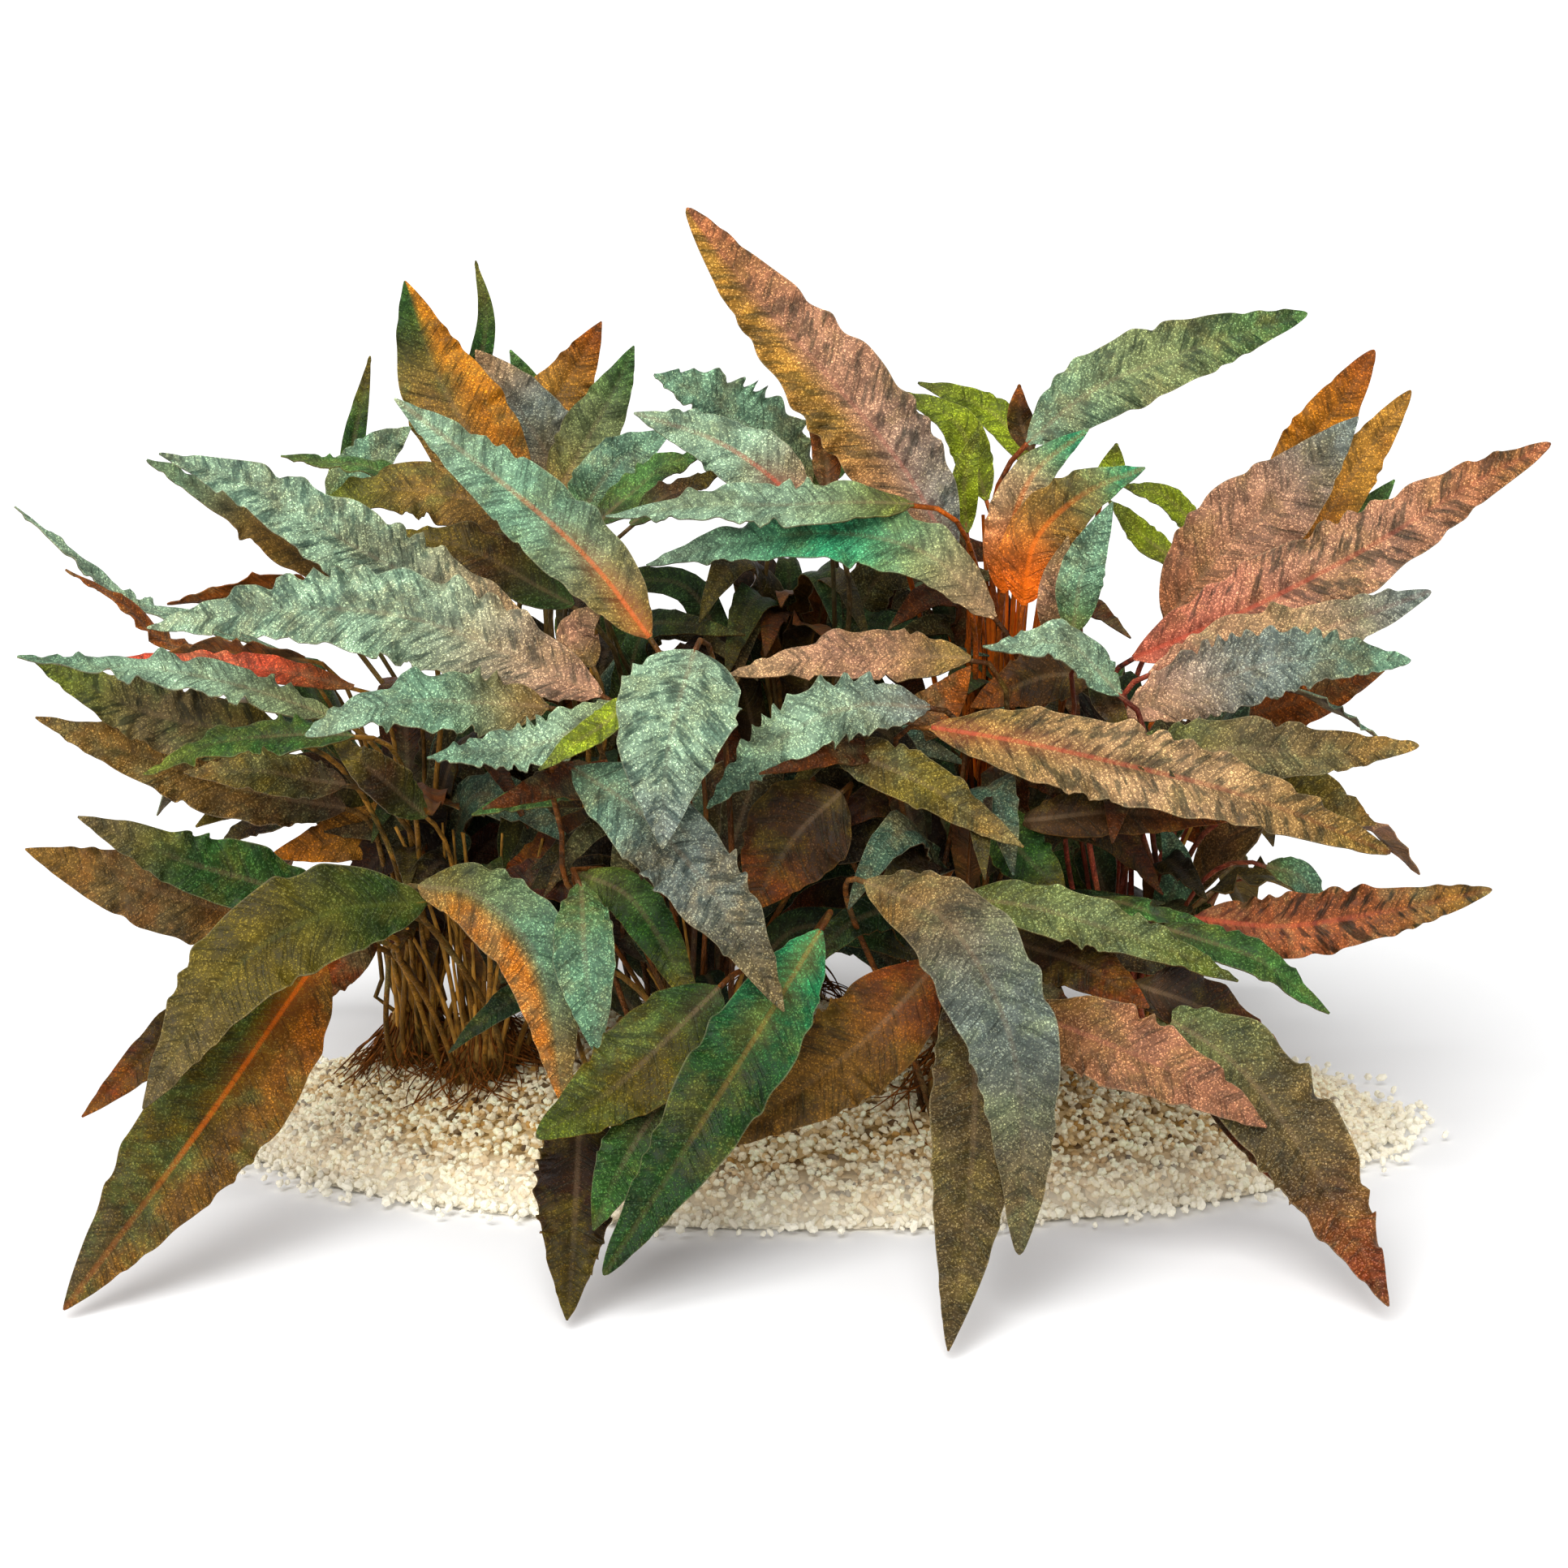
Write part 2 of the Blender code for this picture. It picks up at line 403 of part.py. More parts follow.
class Leaf:
    """One leaf: its line from the crown to the tip, its width and how it is turned."""

    def __init__(self, name, crown, width, face, ruffle, tint, blade):
        self.name = name
        self.crown = crown
        self.half_width = width / 2
        self.ruffle = ruffle
        self.tint = tint
        self.hint = np.array([0.0, -math.sin(math.radians(face)), math.cos(math.radians(face))])
        self.blade = smooth_line(blade, BLADE_STEPS)
        self.bearing = math.atan2(self.blade[3, 1] - CROWNS[crown][1],
                                  self.blade[3, 0] - CROWNS[crown][0])

    def root_at(self, bearing):
        """Puts the stalk's foot on its crown and draws the stalk."""
        x, y = CROWNS[self.crown]
        way = np.array([math.cos(bearing), math.sin(bearing), 0.0])
        if self.name:
            foot = np.array([x, y, 0.0]) + way * (CROWN_RADIUS + GAP + FOOT_ROOM)
            foot[2] = mound_height(foot[0], foot[1]) + FOOT_HEIGHT
        else:
            foot = np.array([x, y, 0.0]) + way * (CROWN_TOP_RADIUS - SMALL_FOOT_INSET)
            foot[2] = mound_height(x, y) + CROWN_RISE - SMALL_FOOT_DEPTH
        rise = unit(way * STALK_LEAN + np.array([0, 0, 1.0]))
        heading = unit(self.blade[2] - self.blade[0])
        stalk = stalk_line(foot, rise, self.blade[0], heading, STALK_STEPS)
        self.line = np.vstack([stalk[:-1], self.blade])

    def along_blade(self):
        """0 at the blade's base and 1 at its tip, and under 0 on the stalk."""
        return (np.arange(len(self.line)) - (STALK_STEPS - 1)) / (BLADE_STEPS - 1)

    def half_widths(self):
        """Half the leaf's width at each step of its line."""
        t = self.along_blade()
        wide = self.half_width * blade_profile(t)
        return np.where(t > 0, np.maximum(wide, STALK_HALF_WIDTH * (1 - t)), STALK_HALF_WIDTH)

    def frames(self):
        """The directions across the leaf and out of its upper side at each step."""
        ahead = unit(np.gradient(self.line, axis=0))
        wanted = np.cross(ahead, self.hint)
        sureness = np.linalg.norm(wanted, axis=1)
        sureness[:STALK_STEPS] *= 0.2
        surest = int(np.argmax(sureness))
        across = np.zeros_like(self.line)
        across[surest] = wanted[surest] / np.linalg.norm(wanted[surest])
        for way in (1, -1):
            last = across[surest]
            for k in range(surest + way, len(self.line) if way > 0 else -1, way):
                carried = last - ahead[k] * np.dot(ahead[k], last)
                trust = max(0.0, sureness[k] - 0.4) * (np.dot(wanted[k], carried) > 0)
                last = unit(carried * (1 - trust) + wanted[k] * trust)
                across[k] = last
        return across, np.cross(across, ahead)


def spread_feet(leaves):
    """Gives each stalk a foot around its crown, facing its blade, with room between feet."""
    for crown in CROWNS:
        group = [leaf for leaf in leaves if leaf.crown == crown]
        group.sort(key=lambda leaf: leaf.bearing)
        bearings = [leaf.bearing for leaf in group]
        pitch = min(SLOT_PITCH, 2 * math.pi / max(1, len(group)))
        for _ in range(80):
            for i in range(len(group)):
                j = (i + 1) % len(group)
                turn = 2 * math.pi if j == 0 else 0.0
                short = pitch - (bearings[j] + turn - bearings[i])
                if short > 0:
                    bearings[i] -= short / 2
                    bearings[j] += short / 2
        for leaf, bearing in zip(group, bearings):
            leaf.root_at(bearing)


def sand_depth(points):
    """How deep each line of sight runs before it meets the sand or the floor."""
    start = eye()
    rays = points - start
    rays = rays / rays[:, 1:2]
    reached = np.full(len(points), FREE_DEPTH)
    for depth in np.arange(SIGHT_FAR, SIGHT_NEAR, -SIGHT_STEP):
        at = start + rays * (depth - start[1])
        buried = at[:, 2] < mound_height(at[:, 0], at[:, 1]) + 0.5
        reached = np.where(buried, depth, reached)
    return reached


def settle(leaves):
    """Slides crossing leaves apart along the line of sight, as leaves push each other aside."""
    steps = STALK_STEPS - 1 + BLADE_STEPS
    shares = np.linspace(-1, 1, 7)
    station, part, offset, spots = [], [], [], []
    for i, leaf in enumerate(leaves):
        across, _ = leaf.frames()
        widths = leaf.half_widths()
        for share in shares:
            at = leaf.line + across * (widths * share)[:, None]
            station.append(i * steps + np.arange(steps))
            part.append(2 * i + (np.arange(steps) >= STALK_STEPS))
            offset.append(at[:, 1] - leaf.line[:, 1])
            spots.append(at)
    station, part, offset = (np.concatenate(v) for v in (station, part, offset))
    spots = np.vstack(spots)
    right, up = read_in_view(spots)
    cell = np.round(right / CELL).astype(int) * 1000 + np.round(up / CELL).astype(int)
    limit = sand_depth(spots)
    limit[spots[:, 1] > limit] = FREE_DEPTH
    group_key = (cell + 200000) * (2 * len(leaves)) + part
    order = np.argsort(group_key, kind="stable")
    station, offset, part, cell, limit = (v[order] for v in (station, offset, part, cell, limit))
    group_key = group_key[order]
    starts = np.flatnonzero(np.concatenate([[True], np.diff(group_key) != 0]))
    group_of = np.cumsum(np.concatenate([[False], np.diff(group_key) != 0]))
    group_part, group_cell = part[starts], cell[starts]
    pairs = []
    first = 0
    while first < len(starts):
        last = first
        while last < len(starts) and group_cell[last] == group_cell[first]:
            last += 1
        pairs += [(a, b) for a in range(first, last) for b in range(a + 1, last)
                  if group_part[a] // 2 != group_part[b] // 2]
        first = last
    pairs = np.array(pairs)
    rest = np.concatenate([leaf.line[:, 1] for leaf in leaves])
    depth = rest
    here = depth[station] + offset
    counts = np.diff(np.append(starts, len(group_key)))
    middle = np.add.reduceat(here, starts) / counts
    votes = {}
    for a, b in pairs:
        key = (group_part[a], group_part[b])
        votes[key] = votes.get(key, 0.0) + middle[b] - middle[a]
    ahead = np.array([votes[(group_part[a], group_part[b])] >= 0 for a, b in pairs])
    front = np.where(ahead, pairs[:, 0], pairs[:, 1])
    back = np.where(ahead, pairs[:, 1], pairs[:, 0])
    looseness = np.clip((np.arange(steps) - 1) / (STALK_STEPS * 0.2), 0, 1)
    looseness = np.tile(looseness, len(leaves))
    kernel = np.hanning(11)[1:-1]
    kernel /= kernel.sum()
    for _ in range(ROUNDS):
        here = depth[station] + offset
        near, far = np.minimum.reduceat(here, starts), np.maximum.reduceat(here, starts)
        short = np.clip(CLEARANCE - (near[back] - far[front]), 0, LARGEST_SLIDE)
        forward, backward = np.zeros(len(starts)), np.zeros(len(starts))
        np.maximum.at(forward, front, short)
        np.maximum.at(backward, back, short)
        push_out, push_in = np.zeros(len(depth)), np.zeros(len(depth))
        np.maximum.at(push_out, station, forward[group_of])
        np.maximum.at(push_in, station, backward[group_of])
        push = (push_in - push_out) * looseness * 0.5
        excess = np.zeros(len(depth))
        np.maximum.at(excess, station, depth[station] + offset - limit + SAND_CLEARANCE)
        moved = (depth - rest + push - excess) * looseness
        moved = np.concatenate([np.convolve(np.pad(row, 4, mode="edge"), kernel, mode="valid")
                                for row in moved.reshape(-1, steps)])
        depth = rest + moved
    for i, leaf in enumerate(leaves):
        line = depth[i * steps:(i + 1) * steps]
        leaf.line = slide(leaf.line, line)


def part_stalks(leaves):
    """Bends stalks sideways around one another and around blades, with both ends held."""
    shares = (-1.0, -0.5, 0.0, 0.5, 1.0)
    held = np.sin(np.linspace(0, math.pi, STALK_STEPS))[:, None]
    held = np.clip(held * 6, 0, 1)
    kernel = np.array([1.0, 2.0, 3.0, 2.0, 1.0]) / 9
    blades = []
    for leaf in leaves:
        across, _ = leaf.frames()
        widths = leaf.half_widths()
        blade = slice(STALK_STEPS + 1, None)
        blades.append(np.vstack([leaf.line[blade] + across[blade] * (widths[blade] * share)[:, None]
                                 for share in shares]))
    for _ in range(STALK_ROUNDS):
        points = [np.vstack([leaf.line[:STALK_STEPS], blade]) for leaf, blade in zip(leaves, blades)]
        owners = np.concatenate([np.full(len(group), i) for i, group in enumerate(points)])
        points = np.vstack(points)
        tree = KDTree(len(points))
        for i, point in enumerate(points):
            tree.insert(point, i)
        tree.balance()
        for i, leaf in enumerate(leaves):
            push = np.zeros((STALK_STEPS, 3))
            for k in range(1, STALK_STEPS - 1):
                here = leaf.line[k]
                for near, index, distance in tree.find_range(here, STALK_ROOM):
                    if owners[index] != i:
                        away = here - np.array(near)
                        away[2] = 0.0
                        length = max(np.linalg.norm(away), 0.05)
                        push[k] += away / length * (STALK_ROOM - distance) * STALK_PUSH
            length = np.linalg.norm(push, axis=1, keepdims=True)
            push *= np.minimum(1.0, LARGEST_PUSH / np.maximum(length, 0.01))
            for axis in range(2):
                push[:, axis] = np.convolve(push[:, axis], kernel, mode="same")
            leaf.line[:STALK_STEPS] += push * held


def grow_leaves():
    """Every leaf, with its line settled among the others."""
    leaves = []
    for name, crown, width, face, ruffle, tint, readings in LEAVES:
        blade = [place(*reading) for reading in readings]
        leaves.append(Leaf(name, crown, width, face, ruffle, tint, blade))
    for crown, width, face, ruffle, tint, readings in SMALL_LEAVES:
        blade = [place(*reading) for reading in readings]
        leaves.append(Leaf("", crown, width, face, ruffle, tint, blade))
    for crown, bearing, reach, rise, drop, width, face, tint in HIDDEN_LEAVES:
        blade = hidden_points(crown, bearing, reach, rise, drop)
        leaves.append(Leaf("", crown, width, face, 1.0, tint, blade))
    spread_feet(leaves)
    settle(leaves)
    part_stalks(leaves)
    return leaves


def add_quad(mesh, quad):
    """Two triangles over four corners, split along the diagonal that bulges outwards."""
    a, b, c, d = (vert.co for vert in quad)
    if (b - a).cross(c - a).dot(d - a) > 0:
        quad = quad[1:] + quad[:1]
    mesh.faces.new(quad[:3])
    mesh.faces.new([quad[0], quad[2], quad[3]])


def leaf_mesh(leaf, name):
    """Lofts a leaf through its two edges and the rib on its underside."""
    own = bool(leaf.name)
    stalk_steps = np.linspace(0, STALK_STEPS - 1, STALK_SECTIONS if own else SMALL_STALK_SECTIONS)
    blade_sections = BLADE_SECTIONS if own else SMALL_BLADE_SECTIONS
    if not own and np.linalg.norm(leaf.blade[-1] - leaf.blade[0]) < SHORT_BLADE:
        blade_sections = SHORT_BLADE_SECTIONS
    blade_steps = STALK_STEPS - 1 + np.linspace(0, BLADE_STEPS - 1, blade_sections + 1)[1:]
    picks = np.round(np.concatenate([stalk_steps, blade_steps])).astype(int)
    across, out = leaf.frames()
    widths = leaf.half_widths()
    along = leaf.along_blade()
    mesh = bmesh.new()
    rings = []
    for number, k in enumerate(picks):
        centre = leaf.line[k]
        t = along[k]
        wide = max(widths[k], RIM_HALF_WIDTH)
        on_blade = min(max(t * 8, 0.0), 1.0)
        body = STALK_HALF_THICKNESS * (1 - on_blade) + RIB_THICKNESS / 2 * on_blade
        body = body * (1 - RIB_TAPER * max(t, 0.0) ** 3)
        wave = leaf.ruffle * RUFFLE_HEIGHT * (-1) ** number * on_blade * (t < 0.97)
        raised = FOLD * wide * on_blade
        lifted = raised + (1 - on_blade) * body * 0.6
        corners = [centre + across[k] * wide + out[k] * (lifted + wave),
                   centre - across[k] * wide + out[k] * (lifted - wave),
                   centre - out[k] * body * 1.2]
        rings.append([mesh.verts.new(corner * MM) for corner in corners])
    for before, after in zip(rings, rings[1:]):
        for i in range(len(before)):
            j = (i + 1) % len(before)
            add_quad(mesh, [before[i], after[i], after[j], before[j]])
    mesh.faces.new(rings[0])
    mesh.faces.new(rings[-1][::-1])
    data = bpy.data.meshes.new(name)
    mesh.to_mesh(data)
    mesh.free()
    return data


def material(name, colour, roughness=0.5):
    """A plain Principled material."""
    made = bpy.data.materials.new(name)
    made.use_nodes = True
    shader = made.node_tree.nodes["Principled BSDF"]
    shader.inputs["Base Color"].default_value = (*colour, 1)
    shader.inputs["Roughness"].default_value = roughness
    return made


def add_object(name, data, collection, colour, roughness=0.5):
    """One named object with a material of its own."""
    made = bpy.data.objects.new(name, data)
    data.materials.append(material(name + "_finish", colour, roughness))
    collection.objects.link(made)
    return made


def crown_data(name, x, y, extra=0.0):
    """The stump that a rosette grows from, or the larger form that makes its pocket."""
    height = CROWN_BURIED + CROWN_RISE + 2 * extra
    mesh = bmesh.new()
    slope = (CROWN_RADIUS - CROWN_TOP_RADIUS) / (CROWN_BURIED + CROWN_RISE)
    bmesh.ops.create_cone(mesh, cap_ends=True, segments=CROWN_SIDES, depth=height * MM,
                          radius1=(CROWN_RADIUS + extra * (1 + slope)) * MM,
                          radius2=(CROWN_TOP_RADIUS + extra * (1 - slope)) * MM)
    middle = float(mound_height(x, y)) - CROWN_BURIED - extra + height / 2
    bmesh.ops.translate(mesh, verts=mesh.verts, vec=(x * MM, y * MM, middle * MM))
    data = bpy.data.meshes.new(name)
    mesh.to_mesh(data)
    mesh.free()
    return data


def sand_data():
    """The mound: rings around its middle, raised to its height, on a flat underside."""
    mesh = bmesh.new()
    bmesh.ops.create_circle(mesh, cap_ends=True, segments=MOUND_SIDES, radius=1.0)
    floor = mesh.faces[:][0]
    rim = bmesh.ops.extrude_face_region(mesh, geom=[floor])
    top = [item for item in rim["geom"] if isinstance(item, bmesh.types.BMFace)][0]
    for vert in top.verts:
        vert.co.z = MOUND_RIM
    for ring in range(1, MOUND_RINGS):
        share = 1 - (ring / MOUND_RINGS) ** 1.3
        bmesh.ops.inset_region(mesh, faces=[top], thickness=0.001)
        for vert in top.verts:
            flat = math.hypot(vert.co.x, vert.co.y)
            vert.co.x *= share / flat
            vert.co.y *= share / flat
    bmesh.ops.poke(mesh, faces=[top])
    for vert in mesh.verts:
        on_top = vert.co.z > MOUND_RIM / 2
        edge = math.hypot(vert.co.x, vert.co.y) > 0.999
        x = MOUND_CENTRE_X + vert.co.x * MOUND_HALF_WIDTH
        y = vert.co.y * MOUND_HALF_DEPTH
        z = MOUND_RIM if edge else float(mound_height(x, y))
        vert.co = (x * MM, y * MM, z * MM if on_top else 0.0)
    bmesh.ops.recalc_face_normals(mesh, faces=mesh.faces)
    data = bpy.data.meshes.new("sand_mound")
    mesh.to_mesh(data)
    mesh.free()
    return data


def add_boolean(target, operation, operand, solver="EXACT"):
    """A Boolean with one object, kept as a modifier."""
    cut = target.modifiers.new(operation.lower() + "_" + operand.name, "BOOLEAN")
    cut.operation = operation
    cut.solver = solver
    cut.object = operand


def build():
    """The whole clump."""
    for item in list(bpy.data.objects):
        bpy.data.objects.remove(item, do_unlink=True)
    parts = bpy.data.collections.new("cryptocoryne_undulata")
    guides = bpy.data.collections.new("cutters_and_small_leaves")
    bpy.context.scene.collection.children.link(parts)
    bpy.context.scene.collection.children.link(guides)
    sand = add_object("sand_mound", sand_data(), parts, (0.75, 0.65, 0.48), 0.9)
    leaves = grow_leaves()
    for crown, (x, y) in CROWNS.items():
        stump = add_object("crown_" + crown, crown_data("crown_" + crown, x, y), parts,
                           (0.16, 0.08, 0.03), 0.8)
        pocket = add_object("pocket_" + crown, crown_data("pocket_" + crown, x, y, GAP), guides,
                            (0.5, 0.5, 0.5))
        add_boolean(sand, "DIFFERENCE", pocket)
        small = [leaf for leaf in leaves if leaf.crown == crown and not leaf.name]
        for number, leaf in enumerate(small):
            label = "small_" + crown + "_" + str(number + 1)
            blade = add_object(label, leaf_mesh(leaf, label), guides, TINTS[leaf.tint])
            add_boolean(stump, "UNION", blade, "MANIFOLD")
    for leaf in leaves:
        if leaf.name:
            add_object(leaf.name, leaf_mesh(leaf, leaf.name), parts, TINTS[leaf.tint])
    for item in guides.objects:
        item.hide_render = True
        item.display_type = "WIRE"


build()
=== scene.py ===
# %% [markdown]
# Cryptocoryne undulata is a rosette plant of shady streams.  A grown clump is a
# handful of short crowns, each with a dozen or more leaves on thin stalks, and this
# one stands in a low heap of coarse sand.  The solids already hold every line and
# size.  This script dresses them: each leaf becomes a thin, wavy, speckled blade.

# %% The frame
import json
import math

import bpy
import numpy as np
from mathutils.kdtree import KDTree
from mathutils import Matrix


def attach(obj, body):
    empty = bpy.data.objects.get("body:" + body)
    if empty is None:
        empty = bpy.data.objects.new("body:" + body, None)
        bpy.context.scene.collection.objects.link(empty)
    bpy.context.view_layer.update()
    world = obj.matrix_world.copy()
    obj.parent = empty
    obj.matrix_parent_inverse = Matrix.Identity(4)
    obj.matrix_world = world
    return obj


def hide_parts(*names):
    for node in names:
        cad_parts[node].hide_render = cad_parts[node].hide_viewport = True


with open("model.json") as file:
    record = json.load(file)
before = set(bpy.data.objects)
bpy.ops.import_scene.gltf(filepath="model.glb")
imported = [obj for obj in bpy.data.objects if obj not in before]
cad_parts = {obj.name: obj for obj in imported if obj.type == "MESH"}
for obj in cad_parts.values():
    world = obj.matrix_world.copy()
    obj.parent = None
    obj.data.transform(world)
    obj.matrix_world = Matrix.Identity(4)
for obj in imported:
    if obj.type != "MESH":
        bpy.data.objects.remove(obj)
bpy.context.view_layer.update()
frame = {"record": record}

MM = 0.001

# %% [markdown]
# Every leaf was read from one view, as the place of its blade's line right of the
# middle, above the middle, and its depth.  A reading could be turned into a curve
# object and pulled about by hand, but the leaves have to lie exactly where the solids
# lie.  So the same readings and the same few formulas are used here as there.

# %% The view and the main sizes
VIEW_TILT = math.radians(12)
VIEW_DISTANCE = 900.0
AIM_HEIGHT = 86.0


def unit(vectors):
    """The same directions with a length of one."""
    vectors = np.asarray(vectors, dtype=float)
    return vectors / np.linalg.norm(vectors, axis=-1, keepdims=True)


def eye():
    """Where the view is taken from."""
    back = -VIEW_DISTANCE * math.cos(VIEW_TILT)
    return np.array([0.0, back, AIM_HEIGHT + VIEW_DISTANCE * math.sin(VIEW_TILT)])


def place(across, up, depth):
    """The real point that the view shows at (across, up), depth millimetres behind the middle."""
    start = eye()
    ray = np.array([across, up * math.sin(VIEW_TILT) - start[1],
                    AIM_HEIGHT + up * math.cos(VIEW_TILT) - start[2]])
    return start + ray * (depth - start[1]) / ray[1]


def read_in_view(points):
    """The view's (across, up) of real points, the inverse of place()."""
    start = eye()
    rays = points - start
    ahead = rays[..., 1] * math.cos(VIEW_TILT) - rays[..., 2] * math.sin(VIEW_TILT)
    above = rays[..., 1] * math.sin(VIEW_TILT) + rays[..., 2] * math.cos(VIEW_TILT)
    return rays[..., 0] * VIEW_DISTANCE / ahead, above * VIEW_DISTANCE / ahead


def slide(points, depths):
    """Points moved along their lines of sight to other depths."""
    start = eye()
    rays = points - start
    return start + rays * ((depths - start[1]) / rays[:, 1])[:, None]


print("the view is taken from", np.round(eye()))

# %% [markdown]
# The clump stands on a low heap of sand, longer than it is deep.  The heap's height is
# one formula, because both the stalks' feet and every grain of sand need to ask it.

# %% The heap's height
MOUND_CENTRE_X = 6.0
MOUND_HALF_WIDTH = 146.0
MOUND_HALF_DEPTH = 85.0
MOUND_HEIGHT = 25.0
MOUND_RIM = 1.6


def mound_height(x, y):
    """The height of the sand over the floor."""
    spread = ((x - MOUND_CENTRE_X) / MOUND_HALF_WIDTH) ** 2 + (y / MOUND_HALF_DEPTH) ** 2
    body = np.clip(1.0 - spread, 0.0, 1.0) ** 0.9
    ripple = 1.0 + 0.05 * np.sin(x / 17.0 + 0.8) * np.cos(y / 13.0)
    return np.where(spread < 1.0, MOUND_RIM + (MOUND_HEIGHT - MOUND_RIM) * body * ripple, 0.0)


print("heap", float(mound_height(MOUND_CENTRE_X, 0.0)), "mm high")

# %% [markdown]
# Eight crowns stand in the heap.  Below are the leaves' readings: 51 large ones by
# name, then the smaller ones seen between them, and last the ones behind the clump.
# The readings could be kept in a file, but a script that carries its own can't lose
# them.

# %% The crowns and the leaves' readings
CROWNS = {
    "left": (-92, 2),
    "left_front": (-74, -16),
    "left_back": (-52, 42),
    "middle_front": (-22, -46),
    "middle_back": (2, 46),
    "right_front": (42, -44),
    "right": (86, -8),
    "young": (58, 38),
}

